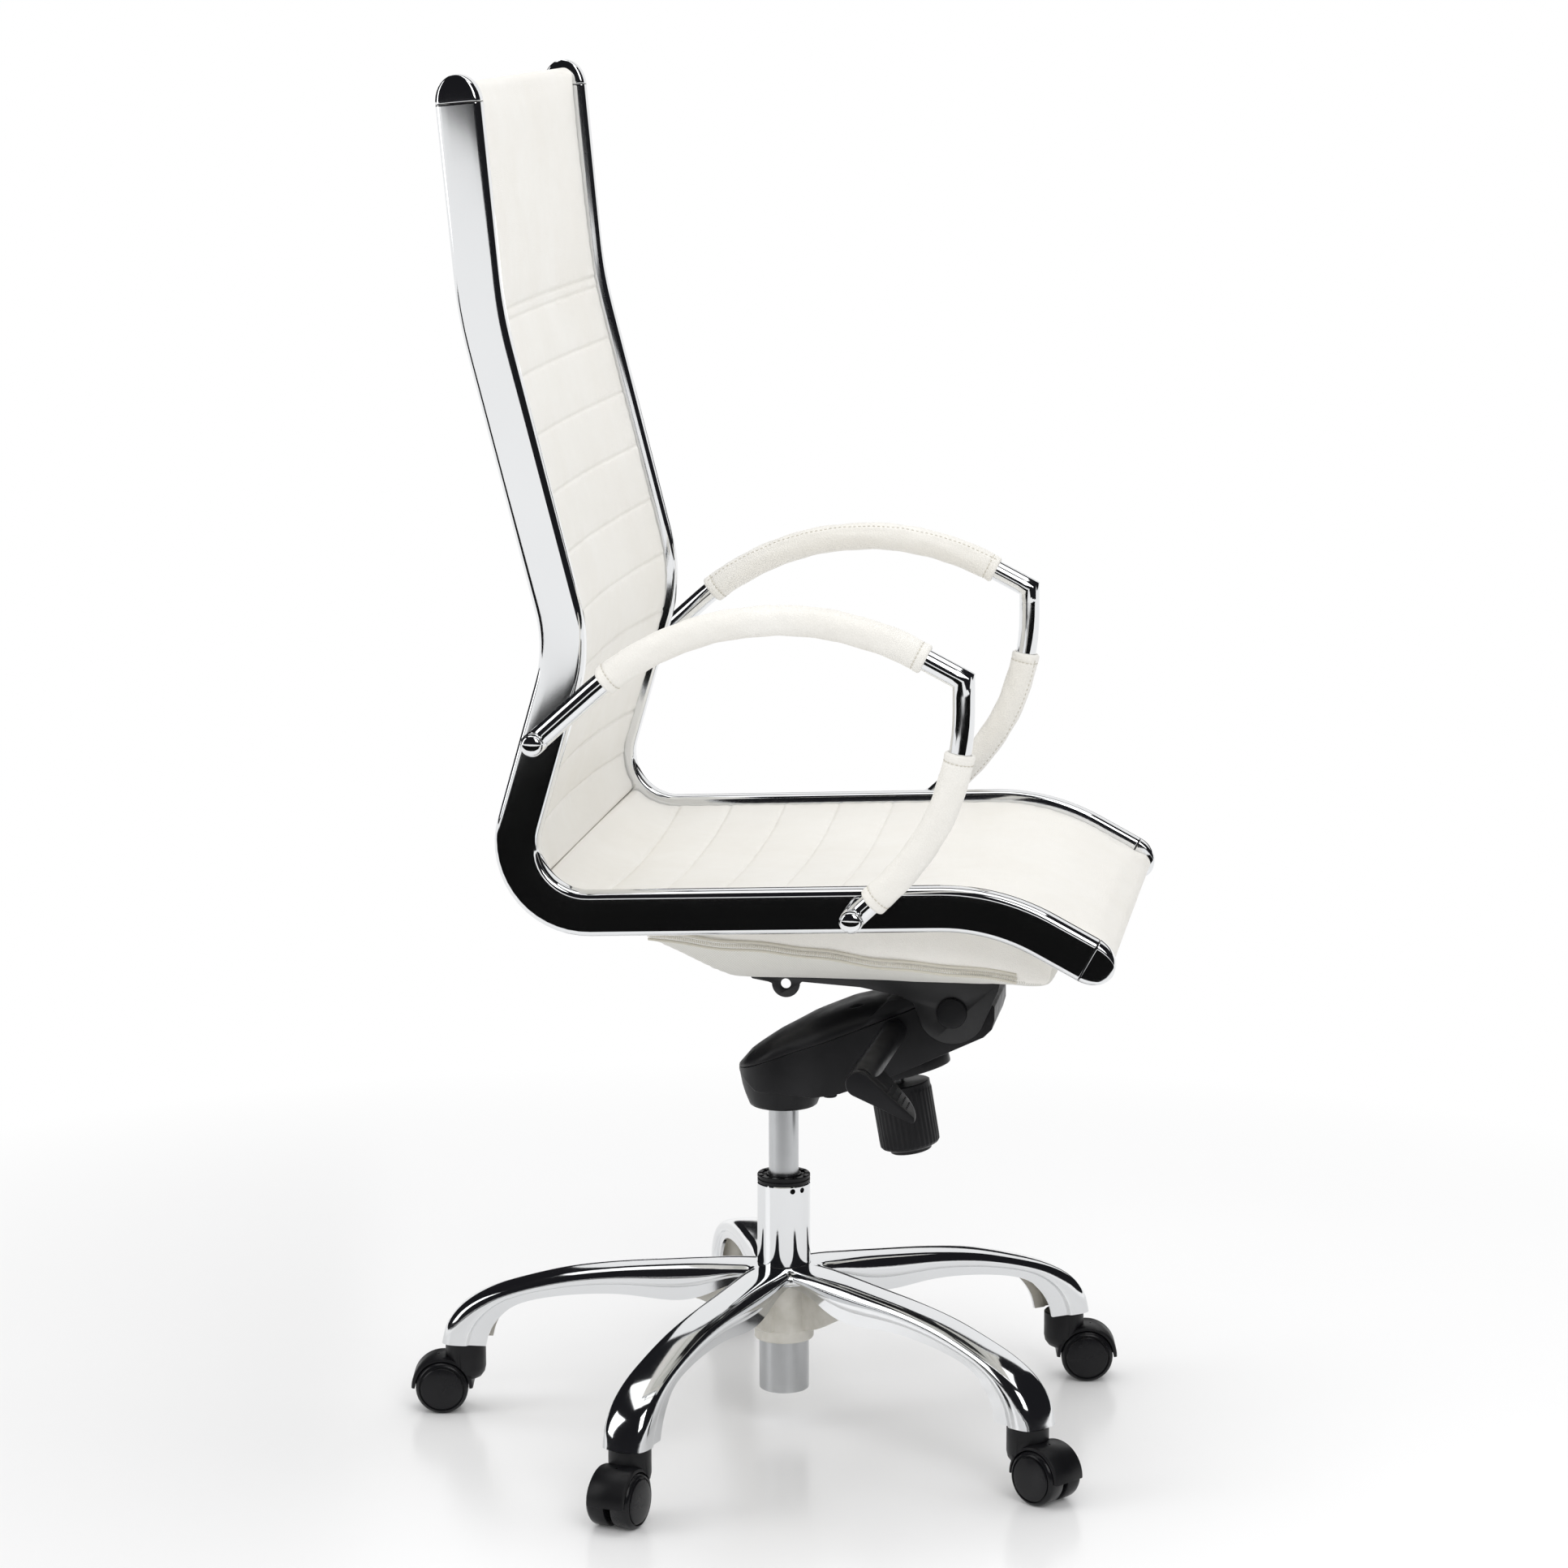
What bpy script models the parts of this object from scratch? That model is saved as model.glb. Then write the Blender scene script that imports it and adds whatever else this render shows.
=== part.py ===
"""Swivel office chair: five-arm base on twin-wheel casters, gas lift, tilt mechanism, sling seat with arms.

Metres, +Z up, +X to the front of the chair, +Y to the sitter's left. Heights of the mechanism and of
all that it carries are measured from the collar at the bottom of the mechanism, and the collar's own
height is worked out from the casters up. The origin is under the middle of the chair, on the floor.
"""

from math import atan2, cos, hypot, pi, radians, sin, sqrt, tan

import bmesh
import bpy
from mathutils import Matrix, Vector

GAP = 0.0003  # between pieces that touch

# Casters
WHEEL_RADIUS = 0.025
WHEEL_OUTER_Y = 0.0235
WHEEL_INNER_Y = 0.0030
WHEEL_SIDES = 16
AXLE_RADIUS = 0.003
AXLE_HALF_LENGTH = 0.0195
TRAIL = 0.022
HOOD_CLEARANCE = 0.0010
HOOD_WALL = 0.0035
HOOD_HALF_WIDTH = 0.0185
WEB_HALF_WIDTH = 0.0025
NECK_RADIUS = 0.0194
NECK_DEPTH = 0.037
NECK_ABOVE_WHEEL = 0.0175
STEM_RADIUS = 0.0055
STEM_IN_NECK = 0.020
STEM_IN_FOOT = 0.026

# Base
ARM_ANGLES = (-36, 36, 108, 180, -108)
CASTER_TURNS = (-36, 8.5, 107, 188, -107)
STEM_CIRCLE = 0.308
FOOT_REACH = 0.0215
FOOT_DEPTH = 0.045
CASTING_WALL = 0.0035
FOOT_BOSS_RADIUS = 0.012
HUB_RADIUS = 0.028
HUB_ABOVE_FOOT = 0.0170
HUB_LENGTH = 0.0682
ARM_START = 0.010
RIB_HALF_THICKNESS = 0.003
ARM_RIDGE = 0.090  # above the foot, at the hub
ARM_EDGE = 0.056
SPIDER_RADIUS = 0.041

# Column and gas lift
COLUMN_RADIUS = 0.025
COLUMN_LOWER_RADIUS = 0.0235
COLUMN_BORE = 0.0195
COLUMN_BELOW_HUB = 0.050
COLUMN_ABOVE_HUB = 0.0828
COLUMN_FLOOR = 0.004
BUSH_FLANGE = 0.008
BUSH_LENGTH = 0.036
BEARING_RADIUS = 0.016
BEARING_HEIGHT = 0.006
ROD_RADIUS = 0.005
PISTON_HEIGHT = 0.165
CYLINDER_RADIUS = 0.014
CYLINDER_WALL = 0.002
CYLINDER_BELOW_COLLAR = 0.211
CYLINDER_ABOVE_COLLAR = 0.048
COLLAR_ABOVE_BUSH = 0.067
PIN_RADIUS = 0.0035
PIN_PROUD = 0.0085
PIN_DEPTH = 0.0120
PIN_TRAVEL = 0.003

# Tilt mechanism, heights above its collar
COLLAR_RADIUS = 0.0315
HOUSING_REAR_RADIUS = 0.0415
HOUSING_HALF_WIDTH = 0.052
HOUSING_WALL = 0.004
PIVOT_X = 0.1645
PIVOT_HEIGHT = 0.1045
SHAFT_RADIUS = 0.006
KNOB_X = 0.110
KNOB_TOP = 0.024
KNOB_LEAN = 9.5
KNOB_RADIUS = 0.0285
KNOB_LENGTH = 0.060
BOLT_RADIUS = 0.004
BOLT_ABOVE_KNOB = 0.060
SPRING_RADIUS = 0.0100
SPRING_WIRE = 0.0018
SPRING_TURNS = 4
LEVER_X = 0.112
LEVER_HEIGHT = 0.087
LEVER_ROD_RADIUS = 0.004
LEVER_BUSH_RADIUS = 0.0075
LEVER_ARM_RADIUS = 0.012
LEVER_END_X = 0.096
LEVER_END_HEIGHT = 0.068
LEVER_END_Y = -0.192
PADDLE_REACH_X = 0.048
PADDLE_REACH_Z = -0.031
PADDLE_DEPTH = 0.070

# Seat plate
PLATE_HEIGHT = 0.1355
PLATE_THICKNESS = 0.003
PLATE_REAR_X = -0.022
PLATE_FRONT_X = 0.209
EAR_X = 0.0105
EAR_RADIUS = 0.013
EAR_HOLE_RADIUS = 0.0047
PIVOT_CAP_RADIUS = 0.014
PIVOT_CAP_THICKNESS = 0.0042

# Side rails, as corners (x, height) of their centre line and the radius of each bend
RAIL_OUTER_Y = 0.2476
RAIL_THICKNESS = 0.020
RAIL_HALF_DEPTH = 0.020
RAIL_WALL = 0.002
RAIL_CAP_LENGTH = 0.025
NOSE = (0.3270, 0.1860)
FRONT_BEND = (0.2225, 0.2421, 0.180)
REAR_BEND = (-0.2230, 0.2238, 0.062)
LUMBAR_BEND = (-0.1540, 0.4640, 0.140)
SHOULDER_BEND = (-0.2280, 0.7550, 0.400)
BACK_TOP = (-0.2475, 0.9616)

# Upholstery, as offsets from the rails' centre line
PAD_FRONT = 0.0190
PAD_REAR = -0.0060
BOARD_REAR = -0.0180
PAD_NOSE_INSET = 0.004
PAD_TOP_INSET = 0.008
BOARD_INSET = 0.028
COVER_HALF_WIDTH = 0.200
COVER_FLOOR_HALF_WIDTH = 0.070
COVER_EDGE_HEIGHT = 0.1880
COVER_EDGE_FALL = 0.092

# Armrests, as corners (x, height) of their centre line
ARM_CENTRE_Y = RAIL_OUTER_Y + 0.0424
ARM_TUBE_RADIUS = 0.0098
ARM_WALL = 0.0020
ARM_REAR = (-0.1750, 0.3880)
ARM_TOP_BEND = (0.0067, 0.5515, 0.250)
ARM_CORNER = (0.2000, 0.4510, 0)
ARM_FRONT_BEND = (0.2005, 0.3295, 0.217)
ARM_FRONT = (0.1040, 0.2395)
BARREL_RADIUS = 0.0105
BARREL_BORE = 0.0065
BARREL_OUTER_Y = ARM_CENTRE_Y + 0.012
ARM_CAP_RADIUS = 0.009
ARM_CAP_THICKNESS = 0.005
SLEEVE_RADIUS = 0.0140
TOP_SLEEVE = (0.082, 0.382)
FRONT_SLEEVE = (0.482, 0.640)

# Heights worked out from the casters up
CASTER_TOP = 2 * WHEEL_RADIUS + NECK_ABOVE_WHEEL
FOOT_HEIGHT = CASTER_TOP + GAP
HUB_BOTTOM = FOOT_HEIGHT + HUB_ABOVE_FOOT
HUB_TOP = HUB_BOTTOM + HUB_LENGTH
COLUMN_BOTTOM = HUB_BOTTOM - COLUMN_BELOW_HUB
COLUMN_TOP = HUB_TOP + COLUMN_ABOVE_HUB
BUSH_TOP = COLUMN_TOP + GAP + BUSH_FLANGE
COLLAR_HEIGHT = BUSH_TOP + COLLAR_ABOVE_BUSH
INNER_HALF_WIDTH = RAIL_OUTER_Y - RAIL_THICKNESS - GAP
CHEEK_INNER_Y = HOUSING_HALF_WIDTH + 0.0005
CHEEK_OUTER_Y = CHEEK_INNER_Y + PLATE_THICKNESS

FINISHES = {
    "chrome": ((0.82, 0.83, 0.84), 0.06, 1.0),
    "satin_steel": ((0.62, 0.64, 0.66), 0.32, 1.0),
    "bronze": ((0.50, 0.34, 0.18), 0.35, 1.0),
    "black_steel": ((0.02, 0.02, 0.022), 0.45, 0.6),
    "black_plastic": ((0.018, 0.018, 0.02), 0.45, 0.0),
    "tread": ((0.025, 0.025, 0.027), 0.55, 0.0),
    "leather": ((0.90, 0.88, 0.82), 0.42, 0.0),
    "lining": ((0.80, 0.77, 0.70), 0.85, 0.0),
    "plywood": ((0.62, 0.45, 0.28), 0.60, 0.0),
}


# ---------------------------------------------------------------- scene and materials


def clear_scene():
    for old in list(bpy.data.objects):
        bpy.data.objects.remove(old, do_unlink=True)


def material_for(name, finish):
    colour, roughness, metallic = FINISHES[finish]
    made = bpy.data.materials.new(name + "_" + finish)
    made.use_nodes = True
    shader = made.node_tree.nodes["Principled BSDF"]
    shader.inputs["Base Color"].default_value = (*colour, 1)
    shader.inputs["Roughness"].default_value = roughness
    shader.inputs["Metallic"].default_value = metallic
    made.diffuse_color = (*colour, 1)
    return made


def group(name, parent=None, location=(0, 0, 0), turn=(0, 0, 0)):
    """An empty on a joint's axis, which carries the pieces that move with it."""
    empty = bpy.data.objects.new(name, None)
    bpy.context.scene.collection.objects.link(empty)
    empty.parent = parent
    empty.location = location
    empty.rotation_euler = turn
    return empty


def mesh_from(bm, name):
    """Closes the edit, turns all faces outwards and shades the round parts smooth."""
    bmesh.ops.remove_doubles(bm, verts=bm.verts, dist=1e-6)
    bmesh.ops.recalc_face_normals(bm, faces=bm.faces)
    mesh = bpy.data.meshes.new(name)
    bm.to_mesh(mesh)
    bm.free()
    mesh.shade_smooth()
    mesh.set_sharp_from_angle(angle=radians(35))
    return mesh


def piece(name, mesh, finish, parent, location=(0, 0, 0), turn=(0, 0, 0)):
    obj = bpy.data.objects.new(name, mesh)
    bpy.context.scene.collection.objects.link(obj)
    obj.parent = parent
    obj.location = location
    obj.rotation_euler = turn
    if mesh.materials:
        mesh.materials[0] = material_for(name, finish)
    else:
        mesh.materials.append(material_for(name, finish))
    return obj


def combined(mesh, *steps):
    """The mesh after Boolean steps, each an (operation, mesh) pair."""
    body = bpy.data.objects.new("work", mesh)
    bpy.context.scene.collection.objects.link(body)
    tools = []
    for operation, tool_mesh in steps:
        tool = bpy.data.objects.new("tool", tool_mesh)
        bpy.context.scene.collection.objects.link(tool)
        tools.append(tool)
        modifier = body.modifiers.new(operation.lower(), "BOOLEAN")
        modifier.operation = operation
        modifier.solver = "EXACT"
        modifier.object = tool
    graph = bpy.context.evaluated_depsgraph_get()
    graph.update()
    result = bpy.data.meshes.new_from_object(body.evaluated_get(graph))
    for helper in [body, *tools]:
        bpy.data.objects.remove(helper, do_unlink=True)
    bm = bmesh.new()
    bm.from_mesh(result)
    return mesh_from(bm, mesh.name)


def bevelled(obj, width, segments=2):
    modifier = obj.modifiers.new("soft_edges", "BEVEL")
    modifier.width = width
    modifier.segments = segments
    modifier.limit_method = "ANGLE"
    modifier.angle_limit = radians(50)
    return obj


# ---------------------------------------------------------------- shapes


def turned(name, profile, sides, offset=0.0):
    """Turns (radius, height) points about +Z. A radius of 0 closes the shape on the axis."""
    bm = bmesh.new()
    rings = []
    for radius, height in profile:
        if radius == 0:
            rings.append([bm.verts.new((0, 0, height))])
            continue
        angles = [2 * pi * (k + offset) / sides for k in range(sides)]
        rings.append([bm.verts.new((radius * cos(a), radius * sin(a), height)) for a in angles])
    open_ended = len(rings[0]) == 1 and len(rings[-1]) == 1
    pairs = list(zip(rings, rings[1:]))
    if not open_ended:
        pairs.append((rings[-1], rings[0]))
    for low, high in pairs:
        for k in range(sides):
            corners = [low[k % len(low)], low[(k + 1) % len(low)]]
            corners += [high[(k + 1) % len(high)], high[k % len(high)]]
            unique = list(dict.fromkeys(corners))
            if len(unique) > 2:
                bm.faces.new(unique)
    return mesh_from(bm, name)


def moved(mesh, matrix):
    mesh.transform(matrix)
    if matrix.determinant() < 0:
        mesh.flip_normals()
    return mesh


def along_y(mesh, x, y, z):
    """Lays a turned shape's axis along +Y, with its height 0 at (x, y, z)."""
    return moved(mesh, Matrix.Translation((x, y, z)) @ Matrix.Rotation(-pi / 2, 4, "X"))


def disc(name, radius, low, high, sides=24):
    return turned(name, [(0, low), (radius, low), (radius, high), (0, high)], sides)


def pipe(name, inner, outer, low, high, sides=24):
    return turned(name, [(inner, low), (outer, low), (outer, high), (inner, high)], sides)


def lofted(name, rings, inner_rings=None):
    """Joins rings of points into a closed solid, or into a wall between outer and inner rings."""
    bm = bmesh.new()
    shells = []
    for loops in [rings] if inner_rings is None else [rings, inner_rings]:
        shells.append([[bm.verts.new(p) for p in loop] for loop in loops])
    count = len(rings[0])
    for shell in shells:
        for low, high in zip(shell, shell[1:]):
            for k in range(count):
                n = (k + 1) % count
                bm.faces.new((low[k], low[n], high[n], high[k]))
    for end in (0, -1):
        if inner_rings is None:
            bm.faces.new(shells[0][end])
            continue
        outer, inner = shells[0][end], shells[1][end]
        for k in range(count):
            n = (k + 1) % count
            bm.faces.new((outer[k], outer[n], inner[n], inner[k]))
    return mesh_from(bm, name)


def prism(name, outline, low, high, plane="XZ"):
    """A prism on an outline in the XZ plane, between two Y values, or in XY between two heights."""
    if plane == "XZ":
        rings = [[(x, y, z) for x, z in outline] for y in (low, high)]
    else:
        rings = [[(x, y, z) for x, y in outline] for z in (low, high)]
    return lofted(name, rings)


# ---------------------------------------------------------------- centre lines


def bent_line(corners, step=radians(9)):
    """Points (x, z) along straight runs, with each (x, z, radius) corner rounded by an arc."""
    points = [Vector(corners[0][:2])]
    for before, corner, after in zip(corners, corners[1:], corners[2:]):
        here = Vector(corner[:2])
        inward = (Vector(before[:2]) - here).normalized()
        outward = (Vector(after[:2]) - here).normalized()
        turn = pi - inward.angle(outward)
        if corner[2] == 0:
            points.append(here)
            continue
        reach = corner[2] * tan(turn / 2)
        centre = here + (inward + outward).normalized() * (corner[2] / cos(turn / 2))
        first = here + inward * reach - centre
        side = 1 if first.y * inward.x - first.x * inward.y > 0 else -1
        count = max(2, round(turn / step))
        for k in range(count + 1):
            angle = side * turn * k / count
            rotated = Matrix.Rotation(angle, 2) @ first
            points.append(centre + rotated)
    points.append(Vector(corners[-1][:2]))
    return points


def line_length(points):
    return sum((b - a).length for a, b in zip(points, points[1:]))


def stretch(points, start, end):
    """The part of a line between two distances along it."""
    chosen = []
    walked = 0.0
    for a, b in zip(points, points[1:]):
        span = (b - a).length
        for target in (start, end):
            if walked <= target <= walked + span:
                chosen.append((target, a.lerp(b, (target - walked) / span)))
        walked += span
        if start + 1e-5 < walked < end - 1e-5:
            chosen.append((walked, b))
    chosen.sort(key=lambda item: item[0])
    kept = [chosen[0][1]]
    for _, point in chosen[1:]:
        if (point - kept[-1]).length > 1e-6:
            kept.append(point)
    return kept


def mitres(points):
    """At each point, the direction across the line, lengthened so that a mitred sweep keeps its width."""
    across = []
    for k, point in enumerate(points):
        sides = []
        if k > 0:
            sides.append((point - points[k - 1]).normalized())
        if k < len(points) - 1:
            sides.append((points[k + 1] - point).normalized())
        normals = [Vector((s.y, -s.x)) for s in sides]
        middle = sum(normals, Vector((0, 0))).normalized()
        across.append(middle / middle.dot(normals[0]))
    return across


def swept_rings(points, section, side):
    """Rings of a section of (offset, y) points carried along a line, on the +Y or the -Y side."""
    rings = []
    for point, across in zip(points, mitres(points)):
        ring = []
        for offset, y in section:
            place = point + across * offset
            ring.append((place.x, side * y, place.y))
        rings.append(ring)
    return rings


def swept(name, points, section, side=1, inner_section=None):
    inner = swept_rings(points, inner_section, side) if inner_section else None
    return lofted(name, swept_rings(points, section, side), inner)


def round_section(radius, centre_y, sides=8):
    angles = [2 * pi * (k + 0.5) / sides for k in range(sides)]
    return [(radius * cos(a), centre_y + radius * sin(a)) for a in angles]


def rail_section(inset):
    """The rail's flat oval, drawn from its crowned outer face round to its inner face."""
    top = RAIL_OUTER_Y - inset
    bottom = RAIL_OUTER_Y - RAIL_THICKNESS + inset
    half = RAIL_HALF_DEPTH - inset
    right = [(0.62 * half, top), (0.94 * half, top - 0.0033), (half, top - 0.0075)]
    right += [(half, bottom + 0.0035), (0.86 * half, bottom)]
    left = [(-offset, y) for offset, y in reversed(right)]
    return right + left


# ---------------------------------------------------------------- casters


def hood_mesh():
    """Neck, hood and web of a caster about its swivel axis, with the axle pressed through the web."""
    inner = WHEEL_RADIUS + HOOD_CLEARANCE
    outer = inner + HOOD_WALL
    neck_low = CASTER_TOP - NECK_DEPTH
    profile = [(0, neck_low), (0.62 * NECK_RADIUS, neck_low), (NECK_RADIUS, neck_low + 0.012)]
    profile += [(NECK_RADIUS, CASTER_TOP), (0, CASTER_TOP)]
    neck = turned("caster_hood", profile, 16)
    width = 2 * HOOD_HALF_WIDTH
    shell = along_y(disc("shell", outer, 0, width, 24), TRAIL, -HOOD_HALF_WIDTH, WHEEL_RADIUS)
    reach = TRAIL + outer + 0.01
    low = [(-reach, -0.05), (reach, -0.05), (reach, WHEEL_RADIUS), (-reach, WHEEL_RADIUS)]
    shell = combined(shell, ("DIFFERENCE", prism("below", low, -0.05, 0.05)))
    web = disc("web", 0.55 * WHEEL_RADIUS, 0, 2 * WEB_HALF_WIDTH, 16)
    web = along_y(web, TRAIL, -WEB_HALF_WIDTH, WHEEL_RADIUS)
    room_length = 2 * HOOD_HALF_WIDTH
    rooms = []
    for start in (WEB_HALF_WIDTH, -WEB_HALF_WIDTH - room_length):
        rooms.append(along_y(disc("room", inner, 0, room_length, 20), TRAIL, start, WHEEL_RADIUS))
    axle = disc("axle", AXLE_RADIUS, 0, 2 * AXLE_HALF_LENGTH, 12)
    axle = along_y(axle, TRAIL, -AXLE_HALF_LENGTH, WHEEL_RADIUS)
    socket = disc("socket", STEM_RADIUS + GAP, CASTER_TOP - STEM_IN_NECK - GAP, CASTER_TOP + 0.01, 16)
    cut = combined(neck, ("UNION", shell), ("UNION", web))
    cut = combined(cut, ("DIFFERENCE", rooms[0]), ("DIFFERENCE", rooms[1]))
    return combined(cut, ("UNION", axle), ("DIFFERENCE", socket))


def wheel_mesh():
    """A caster wheel about +Z, its inner side at height 0, with flats that touch the wheel's circle."""
    width = WHEEL_OUTER_Y - WHEEL_INNER_Y
    rim = WHEEL_RADIUS / cos(pi / WHEEL_SIDES)
    bore = AXLE_RADIUS + GAP
    bore_depth = AXLE_HALF_LENGTH - WHEEL_INNER_Y + GAP
    profile = [(0, bore_depth), (bore, bore_depth), (bore, 0), (0.96 * rim, 0), (rim, 0.0012)]
    profile += [(rim, width - 0.0050), (0.94 * rim, width - 0.0012), (0.84 * rim, width), (0, width)]
    return turned("caster_wheel", profile, WHEEL_SIDES, 0.5)


def add_casters(base):
    hood = hood_mesh()
    wheel = wheel_mesh()
    stem_low = CASTER_TOP - STEM_IN_NECK
    stem_high = FOOT_HEIGHT + STEM_IN_FOOT
    stem = disc("caster_stem", STEM_RADIUS, stem_low, stem_high, 16)
    quarter = radians(90)
    for number, (arm, turn) in enumerate(zip(ARM_ANGLES, CASTER_TURNS), 1):
        place = (STEM_CIRCLE * cos(radians(arm)), STEM_CIRCLE * sin(radians(arm)), 0)
        piece(f"caster_stem_{number}", stem.copy(), "satin_steel", base, place)
        swivel = group(f"caster_swivel_{number}", base, place, (0, 0, radians(turn)))
        piece(f"caster_hood_{number}", hood.copy(), "black_plastic", swivel)
        for side, label in ((1, "left"), (-1, "right")):
            name = f"caster_wheel_{number}_{label}"
            location = (TRAIL, side * WHEEL_INNER_Y, WHEEL_RADIUS)
            piece(name, wheel.copy(), "tread", swivel, location, (-side * quarter, 0, 0))


# ---------------------------------------------------------------- base and column


def arm_stations():
    """(distance out, height) of ridge and lower edge, then half the width, from hub to foot."""
    foot = FOOT_HEIGHT
    tip = STEM_CIRCLE + FOOT_REACH
    heel = tip - FOOT_DEPTH
    ridge = foot + ARM_RIDGE
    edge = foot + ARM_EDGE
    return [
        (ARM_START, ridge, ARM_START, edge + 0.018, 0.0215),
        (0.050, ridge, 0.050, edge + 0.014, 0.0225),
        (0.3035 * tip, ridge - 0.0030, 0.3035 * tip, edge + 0.004, 0.0205),
        (0.4856 * tip, ridge - 0.0080, 0.4704 * tip, edge, 0.0195),
        (tip - 0.122, ridge - 0.0150, heel - 0.088, edge - 0.002, 0.0195),
        (tip - 0.078, ridge - 0.0265, heel - 0.050, edge - 0.008, 0.0200),
        (tip - 0.045, ridge - 0.0380, heel - 0.027, edge - 0.016, 0.0210),
        (tip - 0.021, ridge - 0.0520, heel - 0.013, edge - 0.028, 0.0220),
        (tip - 0.006, ridge - 0.0700, heel - 0.004, edge - 0.042, 0.0225),
        (tip, foot, heel, foot, 0.0220),
    ]


def arm_ring(station, inset):
    """One section of the arm, round over the ridge, at a depth below its outer surface."""
    ridge_x, ridge_z, edge_x, edge_z, half = station
    rise = hypot(ridge_x - edge_x, ridge_z - edge_z)
    drop = 2 * inset / rise if inset else 0
    shape = [(1.0, 0.0), (0.98, 0.50), (0.82, 0.84), (0.42, 1.0)]
    shape += [(-u, v) for u, v in reversed(shape)]
    ring = []
    for u, v in shape:
        share = v * (1 - inset / rise) - drop * (1 - v)
        x = edge_x + (ridge_x - edge_x) * share
        z = edge_z + (ridge_z - edge_z) * share
        ring.append((x, u * (half - inset), z))
    return ring


def foot_boss():
    """The boss hung from the arm's roof that holds the caster's stem."""
    core = lofted("core", [arm_ring(s, CASTING_WALL / 2) for s in arm_stations()])
    place = Matrix.Translation((STEM_CIRCLE, 0, 0))
    boss = moved(disc("boss", FOOT_BOSS_RADIUS, FOOT_HEIGHT + GAP, FOOT_HEIGHT + 0.1, 16), place)
    return combined(boss, ("INTERSECT", core))


def arm_rib():
    """The rib below an arm's roof, from the hub's boss out to where it meets the arm's lower edge."""
    ridge = FOOT_HEIGHT + ARM_RIDGE
    edge = FOOT_HEIGHT + ARM_EDGE
    tip = STEM_CIRCLE + FOOT_REACH
    end = 0.5 * tip
    outline = [(HUB_RADIUS - 0.003, HUB_BOTTOM + 0.012), (0.045, HUB_BOTTOM + 0.016)]
    outline += [(0.24 * tip, edge - 0.011), (0.37 * tip, edge - 0.001), (end, edge + 0.004)]
    outline += [(end, ridge - 0.0115), (0.3035 * tip, ridge - 0.0048), (HUB_RADIUS - 0.003, ridge - 0.0022)]
    return prism("rib", outline, -RIB_HALF_THICKNESS, RIB_HALF_THICKNESS)


def base_mesh():
    bore = COLUMN_LOWER_RADIUS + GAP
    ridge = FOOT_HEIGHT + ARM_RIDGE
    profile = [(0, HUB_BOTTOM), (HUB_RADIUS, HUB_BOTTOM), (HUB_RADIUS, ridge - 0.017)]
    profile += [(SPIDER_RADIUS, ridge - 0.012), (SPIDER_RADIUS, ridge - 0.006)]
    profile += [(SPIDER_RADIUS - 0.005, ridge - 0.001), (0, ridge - 0.001)]
    hub = turned("base_star", profile, 24)
    stations = arm_stations()
    skin = lofted("skin", [arm_ring(s, 0) for s in stations])
    room = lofted("room", [arm_ring(s, CASTING_WALL) for s in stations[1:]])
    socket = disc("socket", STEM_RADIUS + GAP, FOOT_HEIGHT - 0.01, FOOT_HEIGHT + STEM_IN_FOOT + GAP, 16)
    socket = moved(socket, Matrix.Translation((STEM_CIRCLE, 0, 0)))
    arm = combined(skin, ("DIFFERENCE", room), ("UNION", foot_boss()), ("DIFFERENCE", socket))
    arm = combined(arm, ("UNION", arm_rib()))
    steps = []
    for angle in ARM_ANGLES:
        copy = arm.copy()
        copy.transform(Matrix.Rotation(radians(angle), 4, "Z"))
        steps.append(("UNION", copy))
    low = HUB_BOTTOM - 0.01
    room = [(0, low), (bore, low), (bore, HUB_TOP), (COLUMN_RADIUS + GAP, HUB_TOP)]
    room += [(COLUMN_RADIUS + GAP, HUB_TOP + 0.03), (0, HUB_TOP + 0.03)]
    return combined(hub, *steps, ("DIFFERENCE", turned("column_room", room, 24)))


def add_base(base):
    piece("base_star", base_mesh(), "chrome", base)
    shoulder = HUB_TOP + GAP
    tube = [(ROD_RADIUS + 0.001, COLUMN_BOTTOM), (COLUMN_LOWER_RADIUS, COLUMN_BOTTOM)]
    tube += [(COLUMN_LOWER_RADIUS, shoulder), (COLUMN_RADIUS, shoulder), (COLUMN_RADIUS, COLUMN_TOP)]
    tube += [(COLUMN_BORE, COLUMN_TOP), (COLUMN_BORE, COLUMN_BOTTOM + COLUMN_FLOOR)]
    tube += [(ROD_RADIUS + 0.001, COLUMN_BOTTOM + COLUMN_FLOOR)]
    piece("column_tube", turned("column_tube", tube, 24), "chrome", base)
    low = COLUMN_TOP - BUSH_LENGTH
    seat = COLUMN_TOP + GAP
    bore = CYLINDER_RADIUS + GAP
    bush = [(bore, low), (COLUMN_BORE - GAP, low), (COLUMN_BORE - GAP, seat), (COLUMN_RADIUS, seat)]
    bush += [(COLUMN_RADIUS, BUSH_TOP - 0.0015), (COLUMN_RADIUS - 0.0015, BUSH_TOP), (bore, BUSH_TOP)]
    piece("tube_bush", turned("tube_bush", bush, 24), "black_plastic", base)
    low = COLUMN_BOTTOM + COLUMN_FLOOR + GAP
    bearing = pipe("thrust_bearing", ROD_RADIUS + 0.001, BEARING_RADIUS, low, low + BEARING_HEIGHT)
    piece("thrust_bearing", bearing, "bronze", base)


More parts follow.
